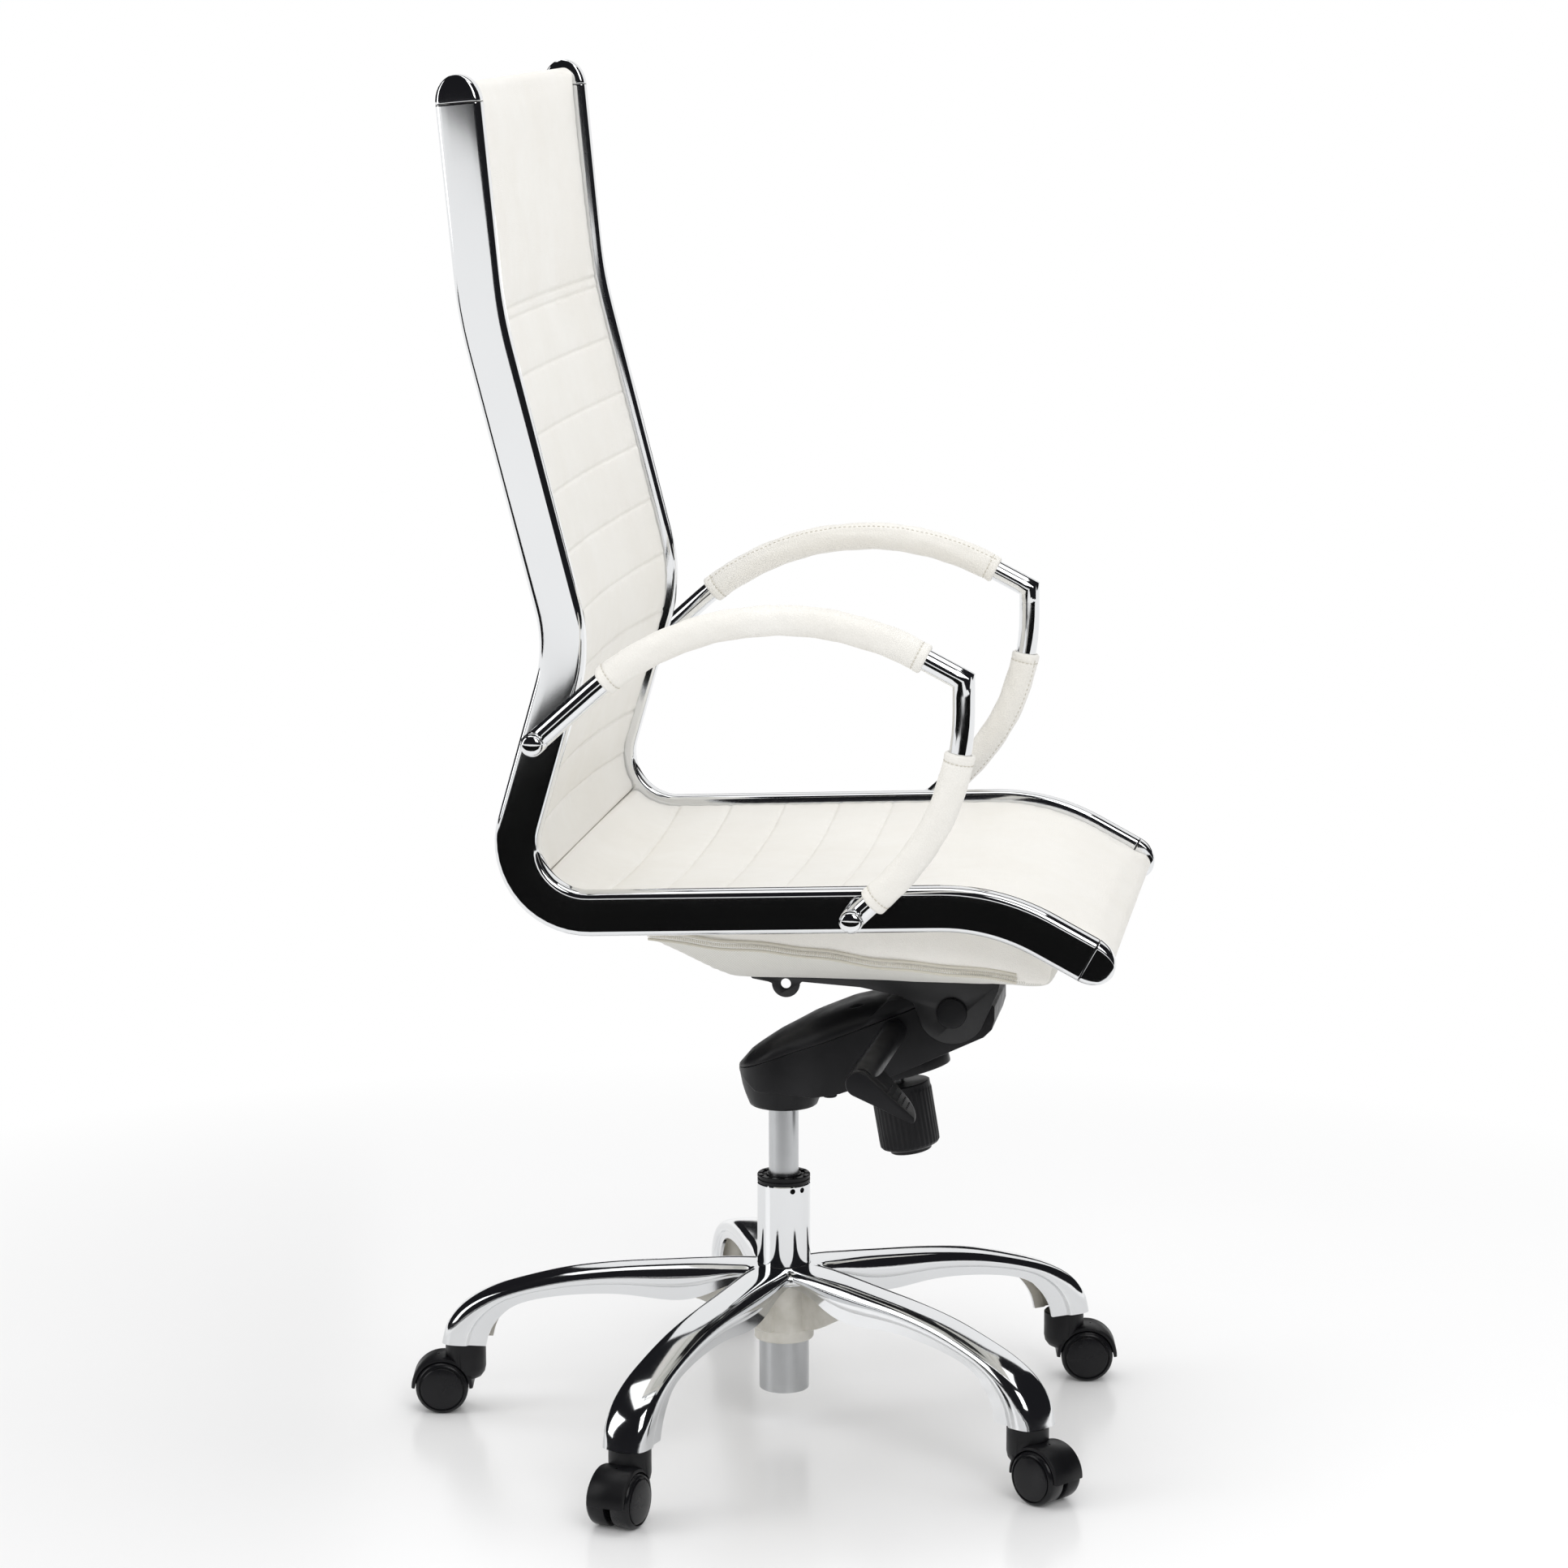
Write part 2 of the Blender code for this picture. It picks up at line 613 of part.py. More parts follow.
def add_lift(rod_group, head_group):
    """The piston rod stands on the bearing. The cylinder slides on its piston and turns in the bush."""
    low = COLUMN_BOTTOM + 0.001
    shoulder = COLUMN_BOTTOM + COLUMN_FLOOR + BEARING_HEIGHT + 2 * GAP
    piston = CYLINDER_RADIUS - CYLINDER_WALL - GAP
    top = COLUMN_BOTTOM + PISTON_HEIGHT
    rod = [(0, low), (ROD_RADIUS, low), (ROD_RADIUS, shoulder), (BEARING_RADIUS - 0.004, shoulder)]
    rod += [(BEARING_RADIUS - 0.004, shoulder + 0.005), (ROD_RADIUS, shoulder + 0.005)]
    rod += [(ROD_RADIUS, top), (piston, top), (piston, top + 0.010), (0, top + 0.010)]
    piece("piston_rod", turned("piston_rod", rod, 24), "satin_steel", rod_group)
    bottom = -CYLINDER_BELOW_COLLAR
    head = CYLINDER_ABOVE_COLLAR
    inner = CYLINDER_RADIUS - CYLINDER_WALL
    pin_bore = PIN_RADIUS + GAP
    pin_floor = head - PIN_DEPTH - PIN_TRAVEL - GAP
    cylinder = [(ROD_RADIUS + GAP, bottom), (CYLINDER_RADIUS, bottom), (CYLINDER_RADIUS, 0.005)]
    cylinder += [(CYLINDER_RADIUS - 0.0015, head), (pin_bore, head), (pin_bore, pin_floor), (0, pin_floor)]
    cavity = [(0, pin_floor - 0.006), (inner, pin_floor - 0.006), (inner, bottom + 0.010)]
    cavity += [(ROD_RADIUS + GAP, bottom + 0.010)]
    solid = turned("gas_cylinder", [(0, bottom), *cylinder[1:]], 24)
    hollow = turned("hollow", [*cavity, (ROD_RADIUS + GAP, bottom - 0.01), (0, bottom - 0.01)], 24)
    piece("gas_cylinder", combined(solid, ("DIFFERENCE", hollow)), "satin_steel", head_group)


# ---------------------------------------------------------------- tilt mechanism


def plan_outline(rear, half, front):
    """The housing seen from above: half round about the column, then widening to the front."""
    arc = [(rear * cos(a), rear * sin(a)) for a in (radians(95 + 17 * k) for k in range(11))]
    return arc + [(0.048, -half), (front, -half), (front, half), (0.048, half)]


def parting_height(x):
    """The sloping joint between the tray and the cover."""
    return 0.036 + (x + HOUSING_REAR_RADIUS) * 0.41


def tray_mesh():
    rear = HOUSING_REAR_RADIUS
    half = HOUSING_HALF_WIDTH
    front = PIVOT_X + 0.039
    ridge = PIVOT_X - 0.0465
    side = [(-rear, parting_height(-rear)), (-rear + 0.004, 0.019), (0.036, 0.018), (LEVER_X, 0.043)]
    side += [(front - 0.0035, 0.086), (front, 0.098), (front, 0.110), (front - 0.013, 0.117)]
    side += [(PIVOT_X - 0.014, 0.117), (ridge, parting_height(ridge))]
    plan = prism("plan", plan_outline(rear, half, front + 0.01), -0.01, 0.2, "XY")
    tray = combined(prism("mechanism_tray", side, -0.1, 0.1), ("INTERSECT", plan))
    collar = [(0, 0), (COLLAR_RADIUS, 0), (rear - 0.004, 0.0200), (0, 0.0200)]
    wall = HOUSING_WALL
    floor = [(0.026, 0.024), (LEVER_X, 0.043 + 1.3 * wall), (front - 0.010, 0.090), (front - wall, 0.100)]
    pocket = prism("pocket", [*floor, (front - wall, 0.2), (0.026, 0.2)], wall - half, half - wall)
    bore_radius = CYLINDER_RADIUS + GAP
    bore = turned("bore", [(0, -0.01), (bore_radius, -0.01), (bore_radius, 0.1), (0, 0.1)], 24)
    steps = [("UNION", turned("collar", collar, 28)), ("UNION", spring_plate())]
    steps += [("DIFFERENCE", pocket), ("DIFFERENCE", bore), ("DIFFERENCE", bolt_room())]
    steps += [("DIFFERENCE", cross_hole(SHAFT_RADIUS + GAP, PIVOT_X, PIVOT_HEIGHT, -0.1, 0.1))]
    steps += [("DIFFERENCE", cross_hole(LEVER_BUSH_RADIUS + GAP, LEVER_X, LEVER_HEIGHT, -0.1, -0.02))]
    return combined(tray, *steps)


def cross_hole(radius, x, z, low, high):
    return along_y(disc("hole", radius, 0, high - low, 20), x, low, z)


def knob_frame():
    """Takes a shape about +Z to the leaning axis of the knob, with its height 0 at the knob's top."""
    return Matrix.Translation((KNOB_X, 0, KNOB_TOP)) @ Matrix.Rotation(radians(-KNOB_LEAN), 4, "Y")


def spring_plate():
    """The oval plate under the tray that the tension spring's bolt passes through."""
    oval = [(0.055 * cos(a), 0.036 * sin(a)) for a in (2 * pi * k / 28 for k in range(28))]
    tilt = Matrix.Translation((KNOB_X - 0.006, 0, 0.0325)) @ Matrix.Rotation(radians(-14), 4, "Y")
    return moved(prism("spring_plate", oval, 0, 0.014, "XY"), tilt)


def bolt_room():
    return moved(disc("bolt_room", BOLT_RADIUS + GAP, -0.01, 0.05, 16), knob_frame())


def cover_mesh():
    rear = HOUSING_REAR_RADIUS
    foot_front = PIVOT_X - 0.090
    line = [(-rear, parting_height(-rear) + GAP), (foot_front, parting_height(foot_front) + GAP)]
    crest = [(PIVOT_X - 0.0665, 0.110), (0.066, 0.103), (0.029, 0.088), (-0.005, 0.069)]
    crest += [(-rear + 0.0065, 0.046)]
    plan = prism("plan", plan_outline(rear, HOUSING_HALF_WIDTH, 0.2), -0.01, 0.2, "XY")
    cover = combined(prism("mechanism_cover", line + crest, -0.1, 0.1), ("INTERSECT", plan))
    wall = 0.0035
    inner = [(-rear + wall, 0.020), (0.12, 0.020), (0.12, 0.112), (PIVOT_X - 0.0665, 0.110 - wall)]
    inner += [(0.066, 0.103 - wall), (0.029, 0.088 - 1.2 * wall), (-0.004, 0.069 - 1.2 * wall)]
    inner += [(-rear + 0.0105, 0.043)]
    inner_plan = prism("plan", plan_outline(rear - wall, HOUSING_HALF_WIDTH - wall, 0.2), -0.01, 0.2, "XY")
    room = combined(prism("room", inner, -0.1, 0.1), ("INTERSECT", inner_plan))
    return combined(cover, ("DIFFERENCE", room))


def spring_mesh():
    """The tension spring, round the bolt between the tray's floor and the bolt's head."""
    low, high = 0.0290, BOLT_ABOVE_KNOB - 0.006 - SPRING_WIRE
    per_turn, sides = 10, 5
    rings = []
    for k in range(SPRING_TURNS * per_turn + 1):
        angle = 2 * pi * k / per_turn
        height = low + (high - low) * k / (SPRING_TURNS * per_turn)
        ring = []
        for j in range(sides):
            turn = 2 * pi * j / sides
            out = SPRING_RADIUS + SPRING_WIRE * cos(turn)
            ring.append((out * cos(angle), out * sin(angle), height + SPRING_WIRE * sin(turn)))
        rings.append(ring)
    return lofted("tilt_spring", rings)


def add_mechanism(head):
    piece("mechanism_tray", tray_mesh(), "black_plastic", head)
    piece("mechanism_cover", cover_mesh(), "black_plastic", head)
    reach = CHEEK_OUTER_Y
    shaft = along_y(disc("pivot_shaft", SHAFT_RADIUS, 0, 2 * reach, 20), PIVOT_X, -reach, PIVOT_HEIGHT)
    piece("pivot_shaft", shaft, "satin_steel", head)
    lean = (0, radians(-KNOB_LEAN), 0)
    piece("tilt_spring", spring_mesh(), "satin_steel", head, (KNOB_X, 0, KNOB_TOP), lean)


def add_knob(head):
    knob = group("knob_axis", head, (KNOB_X, 0, KNOB_TOP), (0, radians(-KNOB_LEAN), 0))
    rim = KNOB_RADIUS
    bore = BOLT_RADIUS + GAP
    bolt_low = -0.75 * KNOB_LENGTH
    profile = [(0, bolt_low - GAP), (bore, bolt_low - GAP), (bore, 0), (0.93 * rim, 0), (rim, -0.002)]
    profile += [(0.985 * rim, -KNOB_LENGTH + 0.002), (0.93 * rim, -KNOB_LENGTH)]
    profile += [(0.68 * rim, -KNOB_LENGTH - 0.006), (0, -KNOB_LENGTH - 0.006)]
    piece("tension_knob", turned("tension_knob", profile, 28), "black_plastic", knob)
    head_low = BOLT_ABOVE_KNOB - 0.005
    bolt = [(0, bolt_low), (BOLT_RADIUS, bolt_low), (BOLT_RADIUS, head_low), (0.013, head_low)]
    bolt += [(0.013, BOLT_ABOVE_KNOB), (0, BOLT_ABOVE_KNOB)]
    piece("tension_bolt", turned("tension_bolt", bolt, 16), "satin_steel", knob)


def teardrop(tip, sides=7):
    """The paddle's end seen along Y about the lever's arm: round at the arm, drawn out to a tip."""
    reach = Vector((PADDLE_REACH_X, PADDLE_REACH_Z)) * tip
    heading = atan2(reach.y, reach.x)
    small = 0.0028
    points = []
    for k in range(sides + 1):
        angle = heading + radians(100) + radians(160) * k / sides
        points.append((LEVER_ARM_RADIUS * cos(angle), LEVER_ARM_RADIUS * sin(angle)))
    for k in range(3):
        angle = heading - radians(80) + radians(160) * k / 2
        points.append((reach.x + small * cos(angle), reach.y + small * sin(angle)))
    return points


def handle_mesh(root_y):
    """The arm, from its root beside the housing out and down to the end, with the paddle at its end."""
    rings = []
    radius = 0.98 * LEVER_ARM_RADIUS
    for share in (0.0, 0.9):
        x = LEVER_END_X * share + LEVER_X * (1 - share)
        y = LEVER_END_Y * share + root_y * (1 - share)
        z = LEVER_END_HEIGHT * share + LEVER_HEIGHT * (1 - share)
        circle = [2 * pi * k / 16 for k in range(16)]
        rings.append([(x + radius * cos(a), y, z + radius * sin(a)) for a in circle])
    arm = lofted("lever_handle", rings)
    rings = []
    for share in (0.0, 0.25, 0.5, 0.75, 0.92, 1.0):
        y = LEVER_END_Y + PADDLE_DEPTH * share
        tip = max(0.30, sqrt(max(0.0, 1 - share**2.2)))
        rings.append([(LEVER_END_X + x, y, LEVER_END_HEIGHT + z) for x, z in teardrop(tip)])
    paddle = lofted("paddle", rings)
    bore = cross_hole(LEVER_ROD_RADIUS + GAP, LEVER_X, LEVER_HEIGHT, root_y - 0.018, root_y + 0.01)
    return combined(arm, ("UNION", paddle), ("DIFFERENCE", bore))


def add_lever(head):
    slide = group("lever_slide", head, (LEVER_X, 0, LEVER_HEIGHT))
    away = Matrix.Translation((-LEVER_X, 0, -LEVER_HEIGHT))
    root_y = -(CHEEK_OUTER_Y + 0.0025)
    inner_y = HOUSING_WALL + 0.0025 - HOUSING_HALF_WIDTH
    bush = pipe("lever_bush", LEVER_ROD_RADIUS + GAP, LEVER_BUSH_RADIUS, 0, inner_y - root_y - 0.001, 20)
    bush = along_y(bush, 0, root_y + 0.001, 0)
    piece("lever_bush", bush, "black_plastic", slide)
    rod_low = root_y - 0.018 + GAP
    rod = along_y(disc("lever_rod", LEVER_ROD_RADIUS, 0, -0.030 - rod_low, 20), 0, rod_low, 0)
    piece("lever_rod", rod, "satin_steel", slide)
    piece("lever_handle", moved(handle_mesh(root_y), away), "black_plastic", slide)
    pin = disc("release_pin", PIN_RADIUS, -PIN_DEPTH, PIN_PROUD, 16)
    piece("release_pin", pin, "satin_steel", head, (0, 0, CYLINDER_ABOVE_COLLAR))


# ---------------------------------------------------------------- seat


def plate_outline():
    """The seat plate's channel seen from the side, with the ear behind and the cheek round the pivot."""
    top = PLATE_HEIGHT
    ear_z = top - 0.008
    points = [(PLATE_REAR_X, top), (PLATE_REAR_X, top - 0.0035), (EAR_X - EAR_RADIUS, ear_z)]
    for k in range(1, 9):
        angle = pi + pi * k / 9
        points.append((EAR_X + EAR_RADIUS * cos(angle), ear_z + EAR_RADIUS * sin(angle)))
    points += [(EAR_X + EAR_RADIUS, ear_z), (PIVOT_X - 0.0585, PIVOT_HEIGHT + 0.0165)]
    points += [(PIVOT_X - 0.0355, PIVOT_HEIGHT + 0.0095)]
    for k in range(7):
        angle = radians(192 + 22 * k)
        points.append((PIVOT_X + 0.031 * cos(angle), PIVOT_HEIGHT + 0.029 * sin(angle)))
    return points + [(PLATE_FRONT_X - 0.001, top - 0.008), (PLATE_FRONT_X, top)]


def plate_mesh():
    body = prism("seat_plate", plate_outline(), -CHEEK_OUTER_Y, CHEEK_OUTER_Y)
    under = PLATE_HEIGHT - PLATE_THICKNESS
    room = [(-0.1, -0.1), (0.4, -0.1), (0.4, under), (-0.1, under)]
    steps = [("DIFFERENCE", prism("room", room, -CHEEK_INNER_Y, CHEEK_INNER_Y))]
    steps += [("DIFFERENCE", cross_hole(SHAFT_RADIUS + GAP, PIVOT_X, PIVOT_HEIGHT, -0.1, 0.1))]
    steps += [("DIFFERENCE", cross_hole(EAR_HOLE_RADIUS, EAR_X, PLATE_HEIGHT - 0.008, -0.1, 0.1))]
    return combined(body, *steps)


def rail_line():
    return bent_line([NOSE, FRONT_BEND, REAR_BEND, LUMBAR_BEND, SHOULDER_BEND, BACK_TOP])


def crease_distance(line):
    """How far along the rails' line the two pads meet: mid-way along one straight step of the rear bend."""
    corner = Vector(REAR_BEND[:2])
    walked = 0.0
    places = []
    for a, b in zip(line, line[1:]):
        middle = a.lerp(b, 0.5)
        places.append(((middle - corner).length, walked + (b - a).length / 2))
        walked += (b - a).length
    return min(places)[1]


def cap_mesh(name, line, side, end):
    """The rounded end of a rail, from its joint to the tip, on the nose end (0) or the top end (1)."""
    total = line_length(line)
    length = RAIL_CAP_LENGTH - GAP
    rings = []
    for degrees in (0, 20, 38, 54, 68, 80):
        reach = length * sin(radians(degrees))
        spot = RAIL_CAP_LENGTH - GAP - reach if end == 0 else total - RAIL_CAP_LENGTH + GAP + reach
        scale = cos(radians(degrees))
        low, high = (spot, spot + 0.001) if end == 0 else (spot - 0.001, spot)
        short = stretch(line, low, high)
        tip = short[0] if end == 0 else short[-1]
        heading = (short[-1] - short[0]).normalized()
        across = Vector((heading.y, -heading.x))
        middle = RAIL_OUTER_Y - RAIL_THICKNESS / 2
        ring = []
        for offset, y in rail_section(0):
            place = tip + across * offset * scale
            ring.append((place.x, side * (middle + (y - middle) * (0.80 + 0.20 * scale)), place.y))
        rings.append(ring)
    return lofted(name, rings)


def add_rails(seat):
    line = rail_line()
    total = line_length(line)
    body = stretch(line, RAIL_CAP_LENGTH, total - RAIL_CAP_LENGTH)
    for side, label in ((1, "left"), (-1, "right")):
        rail = swept(f"rail_{label}", body, rail_section(0), side, rail_section(RAIL_WALL))
        piece(f"rail_{label}", rail, "chrome", seat)
        for end, place in ((0, "front"), (1, "top")):
            name = f"rail_cap_{place}_{label}"
            piece(name, cap_mesh(name, line, side, end), "chrome", seat)


def slab_section(front, rear, half):
    return [(front, half), (front, -half), (rear, -half), (rear, half)]


def add_upholstery(seat):
    line = rail_line()
    total = line_length(line)
    crease = crease_distance(line)
    half = INNER_HALF_WIDTH
    spans = {"seat": (PAD_NOSE_INSET, crease - GAP), "back": (crease + GAP, total - PAD_TOP_INSET)}
    boards = {"seat": (BOARD_INSET, crease - 0.004), "back": (crease + 0.004, total - BOARD_INSET)}
    for label in ("seat", "back"):
        section = slab_section(PAD_FRONT, PAD_REAR, half)
        pad = swept(f"{label}_pad", stretch(line, *spans[label]), section)
        bevelled(piece(f"{label}_pad", pad, "leather", seat), 0.008)
        section = slab_section(PAD_REAR - GAP, BOARD_REAR, half)
        board = swept(f"{label}_board", stretch(line, *boards[label]), section)
        piece(f"{label}_board", board, "plywood", seat)
    bevelled(piece("under_cover", cover_pocket_mesh(line), "lining", seat), 0.010)


def height_at(points, x):
    """The height of a line of points where it crosses x, taken below its highest points."""
    for first, second in zip(points, points[1:]):
        if min(first.x, second.x) <= x <= max(first.x, second.x) and first.y < 0.3:
            share = (x - first.x) / (second.x - first.x)
            return first.y + (second.y - first.y) * share
    return points[0].y


def cover_side(floor, side):
    """The wedge cut away below the pocket's side, where the lining rises from the plate to the rail."""
    low, high = side * COVER_FLOOR_HALF_WIDTH, side * 1.1 * COVER_HALF_WIDTH
    rings = []
    for x in (-0.200, 0.350):
        edge = COVER_EDGE_HEIGHT - COVER_EDGE_FALL * x
        rise = (edge - floor) * (abs(high) - abs(low)) / (COVER_HALF_WIDTH - abs(low))
        ring = [(x, low, floor), (x, high, floor + rise), (x, high, floor - 0.05), (x, low, floor - 0.05)]
        rings.append(ring if side > 0 else ring[::-1])
    return lofted("side", rings)


def cover_pocket_mesh(line):
    """The zipped lining pocket under the seat: it follows the board above and hangs to the plate."""
    below = [point + across * (BOARD_REAR - GAP) for point, across in zip(line, mitres(line))]
    rear_x, front_x = -0.128, 0.272
    over = [point for point in below if rear_x < point.x < front_x and point.y < 0.3]
    floor = PLATE_HEIGHT + GAP
    ahead = Vector((front_x, height_at(below, front_x) - 0.0001))
    behind = Vector((rear_x, height_at(below, rear_x) - 0.0001))
    outline = [ahead, *over, behind]
    outline += [Vector((-0.118, floor + 0.032)), Vector((-0.090, floor + 0.016))]
    outline += [Vector((-0.040, floor)), Vector((PLATE_FRONT_X, floor))]
    outline += [Vector((0.250, floor + 0.010)), Vector((0.268, floor + 0.022))]
    flat = [(p.x, p.y) for p in outline]
    pocket = prism("under_cover", flat, -COVER_HALF_WIDTH, COVER_HALF_WIDTH)
    return combined(pocket, ("DIFFERENCE", cover_side(floor, 1)), ("DIFFERENCE", cover_side(floor, -1)))


# ---------------------------------------------------------------- armrests


def arm_line():
    return bent_line([ARM_REAR, ARM_TOP_BEND, ARM_CORNER, ARM_FRONT_BEND, ARM_FRONT], radians(8))


def arm_mesh(name):
    """A bent tube welded at both ends to barrels, which stand off the rail. Open inside throughout."""
    line = arm_line()
    low = RAIL_OUTER_Y + GAP
    short = stretch(line, 0.6 * BARREL_BORE, line_length(line) - 0.6 * BARREL_BORE)
    shorter = stretch(line, 0.4 * BARREL_BORE, line_length(line) - 0.4 * BARREL_BORE)
    tube = swept(name, short, round_section(ARM_TUBE_RADIUS, ARM_CENTRE_Y))
    hollow = swept("hollow", shorter, round_section(ARM_TUBE_RADIUS - ARM_WALL, ARM_CENTRE_Y))
    steps = []
    for x, z in (ARM_REAR, ARM_FRONT):
        barrel = disc("barrel", BARREL_RADIUS, 0, BARREL_OUTER_Y - low, 20)
        steps.append(("UNION", along_y(barrel, x, low, z)))
    tube = combined(tube, *steps)
    steps = [("DIFFERENCE", hollow)]
    for x, z in (ARM_REAR, ARM_FRONT):
        steps.append(("DIFFERENCE", cross_hole(BARREL_BORE, x, z, low - 0.01, BARREL_OUTER_Y + 0.01)))
    return combined(tube, *steps)


def add_arms(seat):
    mirror = Matrix.Scale(-1, 4, (0, 1, 0))
    left = arm_mesh("arm_tube")
    cap_low = BARREL_OUTER_Y + GAP
    dome = [(0, 0), (ARM_CAP_RADIUS, 0), (ARM_CAP_RADIUS, 0.4 * ARM_CAP_THICKNESS)]
    dome += [(0.7 * ARM_CAP_RADIUS, 0.85 * ARM_CAP_THICKNESS), (0, ARM_CAP_THICKNESS)]
    for side, label in ((1, "left"), (-1, "right")):
        tube = left.copy() if side == 1 else moved(left.copy(), mirror)
        piece(f"arm_tube_{label}", tube, "chrome", seat)
        for place, span in (("top", TOP_SLEEVE), ("front", FRONT_SLEEVE)):
            name = f"arm_sleeve_{place}_{label}"
            outer = round_section(SLEEVE_RADIUS, ARM_CENTRE_Y)
            inner = round_section(ARM_TUBE_RADIUS + GAP, ARM_CENTRE_Y)
            piece(name, swept(name, stretch(arm_line(), *span), outer, side, inner), "leather", seat)
        for place, (x, z) in (("rear", ARM_REAR), ("front", ARM_FRONT)):
            cap = along_y(turned("arm_cap", dome, 20), x, cap_low, z)
            cap = cap if side == 1 else moved(cap, mirror)
            piece(f"arm_cap_{place}_{label}", cap, "chrome", seat)


def add_seat(head):
    """The seat turns with the plate about the pivot shaft. Its pieces stay in the collar's frame."""
    seat = group("seat_tilt", head, (PIVOT_X, 0, PIVOT_HEIGHT))
    frame = group("seat_frame", seat, (-PIVOT_X, 0, -PIVOT_HEIGHT))
    piece("seat_plate", plate_mesh(), "black_steel", frame)
    for side, label in ((1, "left"), (-1, "right")):
        rim, thick = PIVOT_CAP_RADIUS, PIVOT_CAP_THICKNESS
        cap = turned("cap", [(0, 0), (rim, 0), (rim, 0.6 * thick), (0.8 * rim, thick), (0, thick)], 24)
        cap = along_y(cap, PIVOT_X, CHEEK_OUTER_Y + GAP, PIVOT_HEIGHT)
        cap = cap if side == 1 else moved(cap, Matrix.Scale(-1, 4, (0, 1, 0)))
        piece(f"pivot_cap_{label}", cap, "black_plastic", frame)
    add_rails(frame)
    add_upholstery(frame)
    add_arms(frame)


# ---------------------------------------------------------------- whole chair


def centre_on_floor(chair):
    """Moves the chair so that the origin lies under the middle of its box."""
    bpy.context.view_layer.update()
    corners = []
    for obj in bpy.data.objects:
        if obj.type == "MESH":
            corners += [obj.matrix_world @ Vector(corner) for corner in obj.bound_box]
    chair.location.x = -(min(c.x for c in corners) + max(c.x for c in corners)) / 2
    bpy.context.view_layer.update()


def build():
    clear_scene()
    chair = group("chair")
    add_base(chair)
    add_casters(chair)
    swivel = group("seat_swivel", chair)
    head = group("lift_head", swivel, (0, 0, COLLAR_HEIGHT))
    add_lift(swivel, head)
    add_mechanism(head)
    add_knob(head)
    add_lever(head)
    add_seat(head)
    centre_on_floor(chair)


build()
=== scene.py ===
"""Swivel office chair: the visible pieces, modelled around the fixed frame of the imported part.

Metres, +Z up, +X to the front of the chair, +Y to the sitter's left.
"""

from math import acos, atan2, cos, hypot, pi, radians, sin, sqrt, tan

import bmesh
import bpy
from mathutils import Matrix, Vector


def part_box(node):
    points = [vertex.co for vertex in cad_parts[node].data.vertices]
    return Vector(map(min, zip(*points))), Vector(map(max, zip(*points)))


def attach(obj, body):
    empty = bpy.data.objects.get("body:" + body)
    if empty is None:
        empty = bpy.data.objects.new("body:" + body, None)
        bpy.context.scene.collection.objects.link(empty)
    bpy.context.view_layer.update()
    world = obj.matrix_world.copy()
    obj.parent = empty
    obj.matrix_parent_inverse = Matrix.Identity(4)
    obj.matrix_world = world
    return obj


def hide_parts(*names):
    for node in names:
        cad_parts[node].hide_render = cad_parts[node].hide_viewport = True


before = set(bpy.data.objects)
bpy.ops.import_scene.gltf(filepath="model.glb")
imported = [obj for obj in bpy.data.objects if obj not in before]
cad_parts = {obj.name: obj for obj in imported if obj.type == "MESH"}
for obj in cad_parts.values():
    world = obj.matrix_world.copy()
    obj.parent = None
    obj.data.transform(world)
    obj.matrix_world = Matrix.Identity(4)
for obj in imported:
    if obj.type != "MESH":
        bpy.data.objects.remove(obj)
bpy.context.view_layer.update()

column_low, column_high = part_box("column_tube")
AXIS_X = (column_low.x + column_high.x) / 2  # the column's axis
COLLAR_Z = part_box("mechanism_tray")[0].z  # the bottom of the mechanism
COLUMN_TOP = column_high.z
BUSH_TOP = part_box("tube_bush")[1].z

# Side rails, as corners (x ahead of the column, height above the collar, bend radius)
NOSE = (0.3270, 0.1860)
FRONT_BEND = (0.2225, 0.2421, 0.180)
REAR_BEND = (-0.2230, 0.2238, 0.062)
LUMBAR_BEND = (-0.1540, 0.4640, 0.140)
SHOULDER_BEND = (-0.2280, 0.7550, 0.400)
BACK_TOP = (-0.2475, 0.9616)
RAIL_OUTER_Y = 0.2476
RAIL_THICKNESS = 0.020
RAIL_HALF_DEPTH = 0.020
RAIL_CAP_LENGTH = 0.025
HALF_JOINT = 0.0002  # from a cap's joint line to either piece
JOINT_EDGE = 0.0008  # how far the joint's rounded edges reach

# Armrests
ARM_CENTRE_Y = 0.290
ARM_TUBE_RADIUS = 0.0098
ARM_REAR = (-0.1750, 0.3880)
ARM_TOP_BEND = (0.0067, 0.5515, 0.250)
ARM_CORNER = (0.2000, 0.4510, 0)
ARM_FRONT_BEND = (0.2005, 0.3295, 0.217)
ARM_FRONT = (0.1040, 0.2395)
SLEEVE_RADIUS = 0.0138
TOP_SLEEVE = (0.082, 0.382)
FRONT_SLEEVE = (0.482, 0.640)

# Upholstery, as distances along the rails' line and offsets from it
PAD_HALF_WIDTH = 0.2268
CREASE = 0.5335
SEAT_END, BACK_START = CREASE - 0.0001, CREASE + 0.0001
SEAT_SEAMS = (0.2110, 0.2640, 0.3165, 0.3700, 0.4230, 0.4740)
BACK_SEAMS = (0.5780, 0.6250, 0.6730, 0.7260, 0.7790, 0.8320, 0.8860, 0.9390, 0.9930)
HEAD_SEAMS = (1.0440, 1.0540)

# Casters
ARM_ANGLES = (-36, 36, 108, 180, -108)
CASTER_TURNS = (-36, 8.5, 107, 188, -107)
STEM_CIRCLE = 0.308
TRAIL = 0.022
WHEEL_RADIUS = 0.025
CASTER_TOP = 0.0675


# ---------------------------------------------------------------- hands


